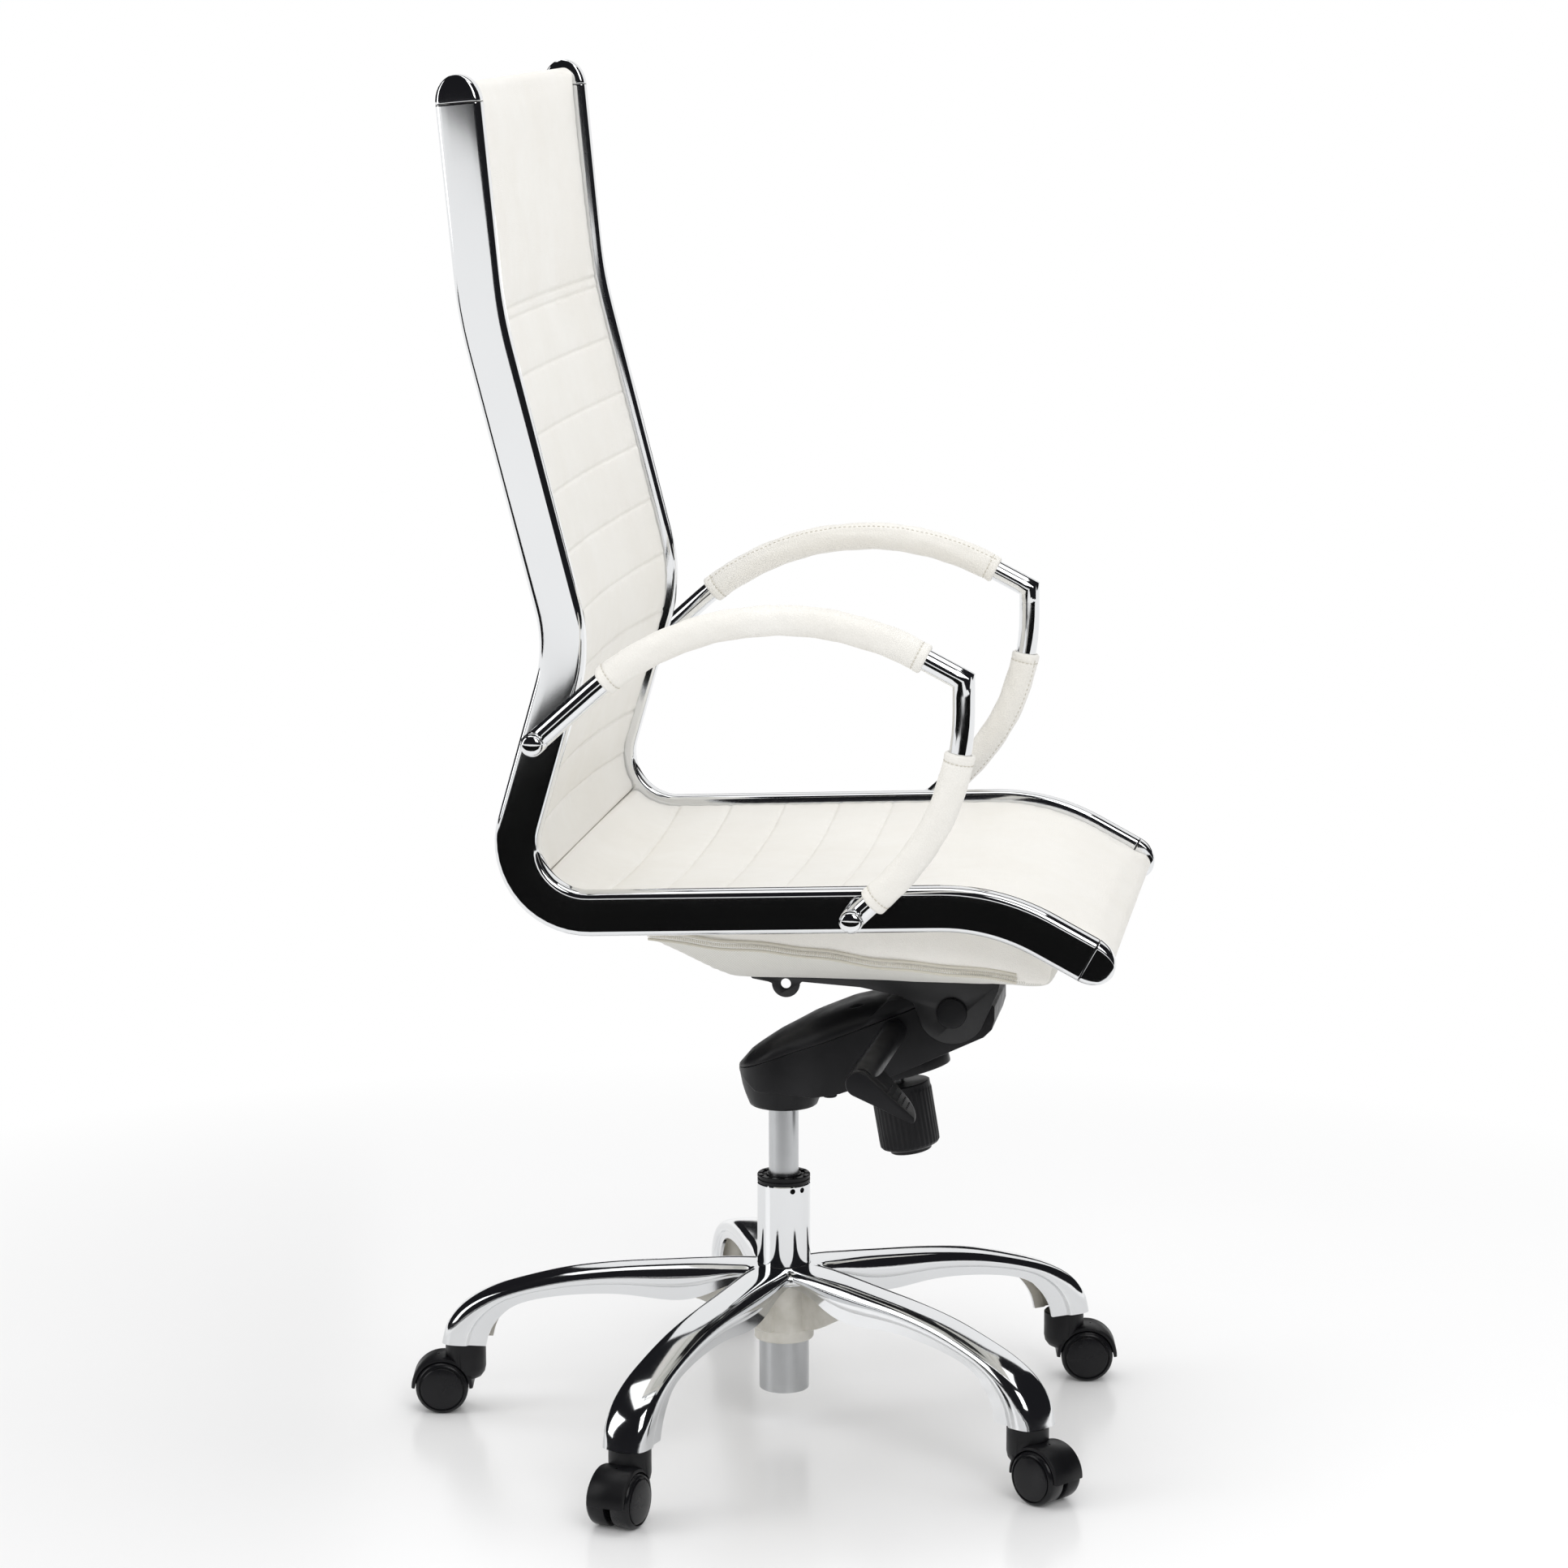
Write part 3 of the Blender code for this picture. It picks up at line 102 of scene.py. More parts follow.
def clear_hands():
    """Back to object mode with nothing selected."""
    if bpy.context.mode != "OBJECT":
        bpy.ops.object.mode_set(mode="OBJECT")
    bpy.ops.object.select_all(action="DESELECT")


def take(obj):
    """Selects one piece and makes it the active one."""
    clear_hands()
    obj.select_set(True)
    bpy.context.view_layer.objects.active = obj
    return obj


def edit(obj, choose="SELECT"):
    """Opens a piece in edit mode, with all of its points selected or none."""
    take(obj)
    bpy.ops.object.mode_set(mode="EDIT")
    bpy.ops.mesh.select_mode(type="VERT")
    bpy.ops.mesh.select_all(action=choose)
    return bmesh.from_edit_mesh(obj.data)


def put_down(obj):
    """Leaves edit mode with doubles merged and every face turned outwards."""
    bpy.ops.mesh.select_all(action="SELECT")
    bpy.ops.mesh.remove_doubles(threshold=0.000002)
    bpy.ops.mesh.normals_make_consistent(inside=False)
    bpy.ops.object.mode_set(mode="OBJECT")
    return obj


def settle(obj, placement=None):
    """Puts a piece in its place and applies it, so that the piece sits at the origin."""
    take(obj)
    if placement is not None:
        obj.matrix_world = placement @ obj.matrix_world
    bpy.ops.object.transform_apply(location=True, rotation=True, scale=True)
    if placement is not None and placement.determinant() < 0:
        edit(obj)
        bpy.ops.mesh.normals_make_consistent(inside=False)
        bpy.ops.object.mode_set(mode="OBJECT")
    return obj


def copy_of(obj, name, placement):
    """Another of the same piece, with its own mesh, in its own place."""
    take(obj)
    bpy.ops.object.duplicate(linked=False)
    made = bpy.context.object
    made.name = name
    made.data.name = name
    return settle(made, placement)


def apply_modifier(obj, kind, **settings):
    """Adds a modifier with its settings and applies it."""
    take(obj)
    bpy.ops.object.modifier_add(type=kind)
    modifier = obj.modifiers[-1]
    for key, value in settings.items():
        setattr(modifier, key, value)
    bpy.ops.object.modifier_apply(modifier=modifier.name)
    return obj


def soften(obj, width, segments=2, angle=40):
    """Rounds the edges sharper than an angle."""
    return apply_modifier(
        obj, "BEVEL", width=width, segments=segments, limit_method="ANGLE",
        angle_limit=radians(angle), use_clamp_overlap=True, harden_normals=False,
    )


def cut_with(obj, tool, operation="DIFFERENCE"):
    """Cuts a piece with a tool, or joins the two, and uses up the tool."""
    apply_modifier(obj, "BOOLEAN", object=tool, operation=operation, solver="EXACT")
    bpy.data.objects.remove(tool, do_unlink=True)
    return obj


def joined(name, pieces):
    """Several shells as one object."""
    clear_hands()
    for obj in pieces:
        obj.select_set(True)
    bpy.context.view_layer.objects.active = pieces[0]
    bpy.ops.object.join()
    pieces[0].name = name
    return pieces[0]


def smooth(obj, angle=35):
    """Shades a piece smooth where its faces meet below an angle."""
    take(obj)
    bpy.ops.object.shade_smooth_by_angle(angle=radians(angle))
    return obj


def dress(obj, material, body, replaces=()):
    """Gives a piece its finish, its body and the node that it stands for."""
    obj.data.materials.clear()
    obj.data.materials.append(material)
    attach(obj, body)
    if replaces:
        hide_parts(*replaces)
    return obj


# ---------------------------------------------------------------- shapes


def turned(name, profile, steps=48):
    """Draws a (radius, height) profile an edge at a time and spins it about +Z."""
    clear_hands()
    radius, height = profile[0]
    bpy.ops.mesh.primitive_circle_add(vertices=3, radius=0.001, location=(0, 0, 0))
    obj = bpy.context.object
    obj.name = name
    bpy.ops.object.mode_set(mode="EDIT")
    bpy.ops.mesh.select_all(action="SELECT")
    bpy.ops.mesh.merge(type="CENTER")
    bpy.ops.transform.translate(value=(radius, 0, height))
    for (r0, z0), (r1, z1) in zip(profile, profile[1:]):
        step = (r1 - r0, 0, z1 - z0)
        bpy.ops.mesh.extrude_vertices_move(TRANSFORM_OT_translate={"value": step})
    bpy.ops.mesh.select_all(action="SELECT")
    bpy.ops.mesh.spin(steps=steps, angle=2 * pi, center=(0, 0, 0), axis=(0, 0, 1))
    put_down(obj)
    return obj


def drawn_through(name, rings, close=False):
    """A ring of corners is added, then pulled out from section to section."""
    clear_hands()
    count = len(rings[0])
    bpy.ops.mesh.primitive_circle_add(vertices=count, radius=0.01, location=(0, 0, 0))
    obj = bpy.context.object
    obj.name = name
    bpy.ops.object.mode_set(mode="EDIT")
    bpy.ops.mesh.select_mode(type="VERT")
    bm = bmesh.from_edit_mesh(obj.data)
    rank = bm.verts.layers.int.new("rank")
    bm.verts.ensure_lookup_table()
    for k, vert in enumerate(bm.verts):
        vert[rank] = k
    set_ring(bm, rank, rings[0])
    for ring in rings[1:]:
        bpy.ops.mesh.select_all(action="DESELECT")
        bm.verts.ensure_lookup_table()
        for vert in bm.verts[-count:]:
            vert.select = True
        bm.select_flush(True)
        bpy.ops.mesh.extrude_edges_indiv()
        set_ring(bm, rank, ring)
    if close:
        bpy.ops.mesh.select_all(action="SELECT")
        bpy.ops.mesh.fill_holes(sides=0)
    else:
        bpy.ops.mesh.select_all(action="SELECT")
    bm.verts.layers.int.remove(bm.verts.layers.int["rank"])
    bmesh.update_edit_mesh(obj.data)
    put_down(obj)
    return obj


def set_ring(bm, rank, ring):
    """Moves the ring added last onto its section."""
    bm.verts.ensure_lookup_table()
    for vert in bm.verts[-len(ring):]:
        vert.co = ring[vert[rank]]


def slab_from(name, outline, low, high, plane="XZ"):
    """A filled outline, extruded between two levels."""
    clear_hands()
    bpy.ops.mesh.primitive_circle_add(vertices=len(outline), radius=0.01, location=(0, 0, 0))
    obj = bpy.context.object
    obj.name = name
    bpy.ops.object.mode_set(mode="EDIT")
    bm = bmesh.from_edit_mesh(obj.data)
    bm.verts.ensure_lookup_table()
    for vert, (a, b) in zip(bm.verts, outline):
        vert.co = (a, low, b) if plane == "XZ" else (a, b, low)
    bmesh.update_edit_mesh(obj.data)
    bpy.ops.mesh.select_all(action="SELECT")
    bpy.ops.mesh.edge_face_add()
    rise = (0, high - low, 0) if plane == "XZ" else (0, 0, high - low)
    bpy.ops.mesh.extrude_region_move(TRANSFORM_OT_translate={"value": rise})
    put_down(obj)
    return obj


def lying(x, y, z):
    """Lays a turned shape's axis along +Y, with its height 0 at (x, y, z)."""
    return Matrix.Translation((x, y, z)) @ Matrix.Rotation(-pi / 2, 4, "X")


def at(x, y, z):
    """A place without a turn."""
    return Matrix.Translation((x, y, z))


def turned_at(placement, name, profile, steps=48):
    """A turned shape, settled in its place."""
    return settle(turned(name, profile, steps), placement)


MIRROR = Matrix.Scale(-1, 4, (0, 1, 0))
SIDES = ((1, "left"), (-1, "right"))


# ---------------------------------------------------------------- lines


def bent_line(corners, step=radians(2)):
    """Points (x, z) along straight runs, with each (x, z, radius) corner rounded by an arc."""
    points = [Vector(corners[0][:2])]
    for before, corner, after in zip(corners, corners[1:], corners[2:]):
        here = Vector(corner[:2])
        inward = (Vector(before[:2]) - here).normalized()
        outward = (Vector(after[:2]) - here).normalized()
        turn = pi - inward.angle(outward)
        if corner[2] == 0:
            points.append(here)
            continue
        centre = here + (inward + outward).normalized() * (corner[2] / cos(turn / 2))
        first = here + inward * corner[2] * tan(turn / 2) - centre
        side = 1 if first.y * inward.x - first.x * inward.y > 0 else -1
        count = max(2, round(turn / step))
        for k in range(count + 1):
            points.append(centre + Matrix.Rotation(side * turn * k / count, 2) @ first)
    points.append(Vector(corners[-1][:2]))
    return points


class Line:
    """A line in the chair's side view that is read by distance along it."""

    def __init__(self, points, longest=0.02):
        filled = [points[0]]
        for a, b in zip(points, points[1:]):
            parts = max(1, round((b - a).length / longest))
            filled += [a.lerp(b, (k + 1) / parts) for k in range(parts)]
        self.points = filled
        self.marks = [0.0]
        for a, b in zip(filled, filled[1:]):
            self.marks.append(self.marks[-1] + (b - a).length)
        self.length = self.marks[-1]

    def heading(self, k):
        low, high = max(0, k - 1), min(len(self.points) - 1, k + 1)
        return (self.points[high] - self.points[low]).normalized()

    def segment(self, s):
        low, high = 0, len(self.marks) - 2
        while low < high:
            middle = (low + high + 1) // 2
            if self.marks[middle] <= s:
                low = middle
            else:
                high = middle - 1
        return low

    def at(self, s, offset=0.0):
        """The point (x, z) at a distance along, moved across the line to the sitter's side."""
        k = self.segment(s)
        share = (s - self.marks[k]) / max(1e-9, self.marks[k + 1] - self.marks[k])
        point = self.points[k].lerp(self.points[k + 1], share)
        heading = self.heading(k).lerp(self.heading(k + 1), min(1, max(0, share))).normalized()
        return point + Vector((heading.y, -heading.x)) * offset, heading

    def place(self, s, offset, y):
        point, _ = self.at(s, offset)
        return Vector((AXIS_X + point.x, y, COLLAR_Z + point.y))


RAIL_LINE = Line(bent_line([NOSE, FRONT_BEND, REAR_BEND, LUMBAR_BEND, SHOULDER_BEND, BACK_TOP]))


def spaced(low, high, longest):
    """Even steps from low to high, about as long as asked."""
    count = max(1, round((high - low) / longest))
    return [low + (high - low) * k / count for k in range(count + 1)]


# ---------------------------------------------------------------- finishes


def new_finish(name, colour, roughness, metallic=0.0, **sockets):
    """A plain finish to build on, with its colour, roughness and metal."""
    made = bpy.data.materials.new(name)
    made.use_nodes = True
    shader = made.node_tree.nodes["Principled BSDF"]
    shader.inputs["Base Color"].default_value = (*colour, 1)
    shader.inputs["Roughness"].default_value = roughness
    shader.inputs["Metallic"].default_value = metallic
    for key, value in sockets.items():
        shader.inputs[key.replace("_", " ")].default_value = value
    made.diffuse_color = (*colour, 1)
    return made, made.node_tree, shader


def add_node(tree, kind, **settings):
    """Adds a node and sets its inputs or properties by name."""
    made = tree.nodes.new(kind)
    for key, value in settings.items():
        if key in made.inputs:
            made.inputs[key].default_value = value
        else:
            setattr(made, key, value)
    return made


def from_place(tree, stretch=(1, 1, 1)):
    """The piece's own coordinates, stretched."""
    place = add_node(tree, "ShaderNodeTexCoord")
    mapped = add_node(tree, "ShaderNodeMapping")
    mapped.inputs["Scale"].default_value = stretch
    tree.links.new(place.outputs["Object"], mapped.inputs["Vector"])
    return mapped.outputs["Vector"]


def noise(tree, vector, scale, detail=4.0, roughness=0.5, distortion=0.0):
    """Cloudy variation from 0 to 1."""
    made = add_node(tree, "ShaderNodeTexNoise")
    made.inputs["Scale"].default_value = scale
    made.inputs["Detail"].default_value = detail
    made.inputs["Roughness"].default_value = roughness
    made.inputs["Distortion"].default_value = distortion
    tree.links.new(vector, made.inputs["Vector"])
    return made.outputs["Fac"]


def ranged(tree, value, low, high, start=0.0, end=1.0):
    """Spreads a value between a low and a high one."""
    made = add_node(tree, "ShaderNodeMapRange")
    made.inputs["From Min"].default_value = start
    made.inputs["From Max"].default_value = end
    made.inputs["To Min"].default_value = low
    made.inputs["To Max"].default_value = high
    tree.links.new(value, made.inputs["Value"])
    return made.outputs["Result"]


def tinted(tree, value, first, second, start=0.3, end=0.7):
    """Runs a value from one colour to another."""
    made = add_node(tree, "ShaderNodeValToRGB")
    made.color_ramp.elements[0].position = start
    made.color_ramp.elements[0].color = (*first, 1)
    made.color_ramp.elements[1].position = end
    made.color_ramp.elements[1].color = (*second, 1)
    tree.links.new(value, made.inputs["Fac"])
    return made.outputs["Color"]


def bumped(tree, height, strength, distance, below=None):
    """Lets a height dent or raise the surface, over another bump if given."""
    made = add_node(tree, "ShaderNodeBump")
    made.inputs["Strength"].default_value = strength
    made.inputs["Distance"].default_value = distance
    tree.links.new(height, made.inputs["Height"])
    if below is not None:
        tree.links.new(below, made.inputs["Normal"])
    return made.outputs["Normal"]


def cells(tree, vector, scale, feature="F1"):
    """Distances in a pattern of cells."""
    made = add_node(tree, "ShaderNodeTexVoronoi")
    made.feature = feature
    made.inputs["Scale"].default_value = scale
    tree.links.new(vector, made.inputs["Vector"])
    return made.outputs["Distance"]


def polished_chrome():
    """Bright plating, faintly smeared, with hair-fine scratches."""
    made, tree, shader = new_finish("polished_chrome", (0.80, 0.81, 0.82), 0.05, 1.0)
    vector = from_place(tree)
    smears = noise(tree, vector, 7.0, 5.0)
    tree.links.new(ranged(tree, smears, 0.030, 0.085), shader.inputs["Roughness"])
    tree.links.new(
        tinted(tree, noise(tree, vector, 2.3), (0.78, 0.79, 0.80), (0.84, 0.85, 0.86)),
        shader.inputs["Base Color"],
    )
    scratches = noise(tree, from_place(tree, (60, 900, 60)), 1.0, 2.0)
    tree.links.new(bumped(tree, scratches, 0.02, 0.00002), shader.inputs["Normal"])
    return made


def polished_casting():
    """The base's polished upper faces, soft in their reflections like a buffed casting."""
    made, tree, shader = new_finish("polished_casting", (0.80, 0.81, 0.82), 0.07, 1.0)
    vector = from_place(tree)
    waves = noise(tree, vector, 24.0, 2.0)
    tree.links.new(ranged(tree, noise(tree, vector, 9.0, 4.0), 0.040, 0.120), shader.inputs["Roughness"])
    tree.links.new(
        tinted(tree, noise(tree, vector, 3.1), (0.77, 0.78, 0.79), (0.83, 0.84, 0.85)),
        shader.inputs["Base Color"],
    )
    tree.links.new(bumped(tree, waves, 0.10, 0.0004), shader.inputs["Normal"])
    return made


def raw_casting():
    """The unpolished underside of the base."""
    made, tree, shader = new_finish("raw_casting", (0.62, 0.60, 0.55), 0.58, 0.35)
    vector = from_place(tree)
    tree.links.new(
        tinted(tree, noise(tree, vector, 90.0, 5.0), (0.66, 0.64, 0.58), (0.76, 0.74, 0.69)),
        shader.inputs["Base Color"],
    )
    tree.links.new(ranged(tree, noise(tree, vector, 240.0), 0.48, 0.72), shader.inputs["Roughness"])
    grains = bumped(tree, noise(tree, vector, 900.0, 3.0), 0.55, 0.0004)
    tree.links.new(grains, shader.inputs["Normal"])
    return made


def satin_steel():
    """Ground steel with fine rings round it."""
    made, tree, shader = new_finish("satin_steel", (0.55, 0.56, 0.57), 0.30, 1.0)
    rings = noise(tree, from_place(tree, (8, 8, 2600)), 1.0, 3.0)
    vector = from_place(tree)
    tree.links.new(ranged(tree, noise(tree, vector, 40.0), 0.24, 0.38), shader.inputs["Roughness"])
    tree.links.new(
        tinted(tree, noise(tree, vector, 15.0), (0.50, 0.51, 0.52), (0.60, 0.61, 0.62)),
        shader.inputs["Base Color"],
    )
    tree.links.new(bumped(tree, rings, 0.12, 0.00004), shader.inputs["Normal"])
    return made


def moulded_plastic(name, colour, light, rough_low, rough_high, grain=1500.0):
    """Black plastic from a spark-eroded mould, a little greyer where it is handled."""
    made, tree, shader = new_finish(name, colour, 0.45)
    shader.inputs["Specular IOR Level"].default_value = 0.26
    vector = from_place(tree)
    tree.links.new(
        tinted(tree, noise(tree, vector, 22.0, 5.0), colour, light), shader.inputs["Base Color"]
    )
    tree.links.new(
        ranged(tree, noise(tree, vector, 60.0, 4.0), rough_low, rough_high, 0.3, 0.7),
        shader.inputs["Roughness"],
    )
    pits = bumped(tree, noise(tree, vector, grain, 2.0), 0.35, 0.00010)
    tree.links.new(pits, shader.inputs["Normal"])
    return made


def painted_steel():
    """Black powder coat with its orange peel."""
    made, tree, shader = new_finish("painted_steel", (0.006, 0.006, 0.007), 0.36)
    vector = from_place(tree)
    tree.links.new(
        tinted(tree, noise(tree, vector, 30.0), (0.0050, 0.0050, 0.0060), (0.0100, 0.0100, 0.0112)),
        shader.inputs["Base Color"],
    )
    tree.links.new(ranged(tree, noise(tree, vector, 85.0), 0.28, 0.46), shader.inputs["Roughness"])
    tree.links.new(bumped(tree, noise(tree, vector, 700.0, 2.0), 0.25, 0.0002), shader.inputs["Normal"])
    return made


def ivory_leather(name="ivory_leather", grain=620.0, depth=0.00035, crease=0.0010, worn=0.0):
    """Coated leather: pebbled grain over soft creases, its tone mottled at random."""
    made, tree, shader = new_finish(name, (0.80, 0.77, 0.70), 0.42)
    shader.inputs["Specular IOR Level"].default_value = 0.42
    shader.inputs["Sheen Weight"].default_value = 0.06
    shader.inputs["Sheen Roughness"].default_value = 0.5
    vector = from_place(tree)
    mottled = noise(tree, vector, 9.0, 6.0, 0.6)
    tree.links.new(
        tinted(tree, mottled, (0.835 - worn, 0.812 - worn, 0.760 - worn), (0.880, 0.865, 0.825), 0.25, 0.75),
        shader.inputs["Base Color"],
    )
    dull = ranged(tree, noise(tree, vector, 55.0, 5.0), 0.34, 0.52, 0.3, 0.7)
    tree.links.new(dull, shader.inputs["Roughness"])
    warped = add_node(tree, "ShaderNodeVectorMath", operation="ADD")
    wander = add_node(tree, "ShaderNodeTexNoise")
    wander.inputs["Scale"].default_value = grain * 0.6
    tree.links.new(vector, wander.inputs["Vector"])
    small = add_node(tree, "ShaderNodeVectorMath", operation="SCALE")
    small.inputs["Scale"].default_value = 0.6 / grain
    tree.links.new(wander.outputs["Color"], small.inputs[0])
    tree.links.new(vector, warped.inputs[0])
    tree.links.new(small.outputs[0], warped.inputs[1])
    pebbles = cells(tree, warped.outputs[0], grain, "DISTANCE_TO_EDGE")
    capped = ranged(tree, pebbles, 0.0, 1.0, 0.0, 0.22)
    folds = bumped(tree, noise(tree, vector, 26.0, 3.0, 0.5, 0.8), 0.35, crease)
    grained = bumped(tree, capped, 0.42, depth, folds)
    tree.links.new(grained, shader.inputs["Normal"])
    return made


def lining_cloth():
    """Twill lining under the seat."""
    made, tree, shader = new_finish("lining_cloth", (0.75, 0.74, 0.70), 0.85)
    shader.inputs["Sheen Weight"].default_value = 0.25
    twill = add_node(tree, "ShaderNodeTexWave", wave_type="BANDS", bands_direction="DIAGONAL")
    twill.inputs["Scale"].default_value = 330.0
    twill.inputs["Distortion"].default_value = 0.6
    vector = from_place(tree)
    tree.links.new(vector, twill.inputs["Vector"])
    tree.links.new(
        tinted(tree, twill.outputs["Fac"], (0.60, 0.59, 0.54), (0.80, 0.79, 0.74), 0.2, 0.8),
        shader.inputs["Base Color"],
    )
    tree.links.new(ranged(tree, noise(tree, vector, 120.0), 0.75, 0.95), shader.inputs["Roughness"])
    ribs = bumped(tree, twill.outputs["Fac"], 0.5, 0.0004)
    tree.links.new(bumped(tree, noise(tree, vector, 16.0), 0.5, 0.004, ribs), shader.inputs["Normal"])
    return made


def thread_finish():
    """Waxed thread with its twisted plies."""
    made, tree, shader = new_finish("waxed_thread", (0.78, 0.75, 0.68), 0.55)
    vector = from_place(tree)
    plies = add_node(tree, "ShaderNodeTexWave", wave_type="BANDS", bands_direction="DIAGONAL")
    plies.inputs["Scale"].default_value = 900.0
    tree.links.new(vector, plies.inputs["Vector"])
    tree.links.new(
        tinted(tree, plies.outputs["Fac"], (0.54, 0.51, 0.43), (0.74, 0.71, 0.62)),
        shader.inputs["Base Color"],
    )
    tree.links.new(bumped(tree, plies.outputs["Fac"], 0.5, 0.0002), shader.inputs["Normal"])
    return made


def dull_bronze():
    """Bare bronze, unevenly toned."""
    made, tree, shader = new_finish("dull_bronze", (0.42, 0.30, 0.16), 0.35, 1.0)
    vector = from_place(tree)
    tree.links.new(
        tinted(tree, noise(tree, vector, 60.0), (0.36, 0.25, 0.13), (0.50, 0.36, 0.20)),
        shader.inputs["Base Color"],
    )
    return made


CHROME = polished_chrome()
CASTING = polished_casting()
RAW = raw_casting()
STEEL = satin_steel()
PLASTIC = moulded_plastic("charcoal_plastic", (0.0045, 0.0045, 0.0056), (0.0090, 0.0090, 0.0104), 0.32, 0.48)
WHEEL_PLASTIC = moulded_plastic(
    "wheel_plastic", (0.0050, 0.0050, 0.0060), (0.0085, 0.0085, 0.0100), 0.16, 0.30
)
CAP_PLASTIC = moulded_plastic(
    "wheel_cap_plastic", (0.0060, 0.0060, 0.0072), (0.0105, 0.0105, 0.0122), 0.40, 0.55
)
COAT = painted_steel()
LEATHER = ivory_leather()
SLEEVE_LEATHER = ivory_leather("sleeve_leather", 480.0, 0.00055, 0.0006, 0.02)
LINING = lining_cloth()
THREAD = thread_finish()
BRONZE = dull_bronze()


# ---------------------------------------------------------------- side rails


def rail_section():
    """(offset, y) corners of the rail: a flat outer face, round outer edges and small inner ones."""
    outer, inner = RAIL_OUTER_Y, RAIL_OUTER_Y - RAIL_THICKNESS
    half = RAIL_HALF_DEPTH
    points = [(0.0, outer), (0.40 * half, outer - 0.00003), (0.70 * half, outer - 0.00012)]
    reach, drop = 0.0052, 0.0062
    for degrees in (6, 16, 28, 42, 56, 72, 90):
        a = radians(degrees)
        points.append((half - reach + reach * sin(a), outer - 0.00015 - drop + drop * cos(a)))
    for degrees in (0, 30, 60, 90):
        a = radians(degrees)
        points.append((half - 0.0035 + 0.0035 * cos(a), inner + 0.0035 - 0.0035 * sin(a)))
    mirrored = [(-offset, y) for offset, y in reversed(points[1:])]
    return points + [(0.0, inner)] + mirrored


def rail_ring(s, side, scale=1.0, squeeze=1.0):
    """The rail's section at a distance along its line, drawn in towards its middle."""
    middle = RAIL_OUTER_Y - RAIL_THICKNESS / 2
    ring = []
    for offset, y in rail_section():
        ring.append(RAIL_LINE.place(s, offset * scale, side * (middle + (y - middle) * squeeze)))
    return ring


def dark_joint(obj, *joints):
    """The edges that meet at a cap's joint lie in its shadow, so they are dark."""
    obj.data.materials.append(PLASTIC)
    for s in joints:
        middle = RAIL_LINE.place(s, 0, 0)
        ahead = (RAIL_LINE.place(s + 0.001, 0, 0) - middle).normalized()
        for face in obj.data.polygons:
            step = face.center - middle
            if abs(step.dot(ahead)) < JOINT_EDGE and step.length < RAIL_OUTER_Y + RAIL_HALF_DEPTH:
                face.material_index = 1


def side_rails():
    """The two chromed rails and the caps that close their ends."""
    total = RAIL_LINE.length
    joints = {"front": RAIL_CAP_LENGTH, "top": total - RAIL_CAP_LENGTH}
    for side, label in SIDES:
        low, high = RAIL_CAP_LENGTH + HALF_JOINT, total - RAIL_CAP_LENGTH - HALF_JOINT
        stations = [low, *spaced(low + 0.0012, high - 0.0012, 0.008), high]
        rail = drawn_through(f"rail_bar_{label}", [rail_ring(s, side) for s in stations], True)
        soften(rail, 0.0005, 2, 60)
        smooth(rail, 40)
        dress(rail, CHROME, "seat", [f"rail_{label}"])
        dark_joint(rail, *joints.values())
        for end in ("front", "top"):
            rings = []
            for degrees in (0, 3, 8, 18, 28, 38, 48, 57, 65, 72, 78, 83, 87):
                reach = 0.0245 * sin(radians(degrees))
                scale = cos(radians(degrees))
                s = RAIL_CAP_LENGTH - HALF_JOINT - reach
                if end == "top":
                    s = total - s
                rings.append(rail_ring(s, side, scale, 0.72 + 0.28 * scale))
            cap = drawn_through(f"rail_end_{end}_{label}", rings, True)
            soften(cap, 0.0005, 2, 60)
            smooth(cap, 50)
            dress(cap, CHROME, "seat", [f"rail_cap_{end}_{label}"])
            dark_joint(cap, joints[end])


# ---------------------------------------------------------------- pads

EULER = 2.718281828
PAD_THICKNESS = 0.0190
SEAM_FLOOR = 0.0158  # the seams' offset from the rails' line
PUFF = 0.0034
EDGE_ROUND = 0.0095


def pad_rows(low, high, seams):
    """Where the pad's rows lie: even between the seams, and close together beside each."""
    marks = [low, low + 0.0015, low + 0.004, low + 0.008]
    for seam in seams:
        marks += [seam - 0.0045, seam - 0.0018, seam, seam + 0.0018, seam + 0.0045]
    marks += [high - 0.008, high - 0.004, high - 0.0015, high]
    marks.sort()
    rows = [marks[0]]
    for a, b in zip(marks, marks[1:]):
        rows += spaced(a, b, 0.0078)[1:]
    return rows


def pad_columns():
    """Where the pad's columns lie: close together at its edges."""
    half = PAD_HALF_WIDTH
    edge = [0.0, 0.0014, 0.0036, 0.0068, 0.011, 0.016]
    inner = spaced(-half + 0.0225, half - 0.0225, 0.0078)
    return [-half + e for e in edge] + inner + [half - e for e in reversed(edge)]


def edge_drop(distance):
    """How far the face turns down at a distance in from the pad's edge."""
    if distance >= EDGE_ROUND:
        return 0.0
    short = EDGE_ROUND - distance
    return EDGE_ROUND - sqrt(max(0.0, EDGE_ROUND**2 - short**2))


def bell(distance, width):
    """1 at no distance, falling off smoothly on both sides."""
    return EULER ** (-((distance / width) ** 2))


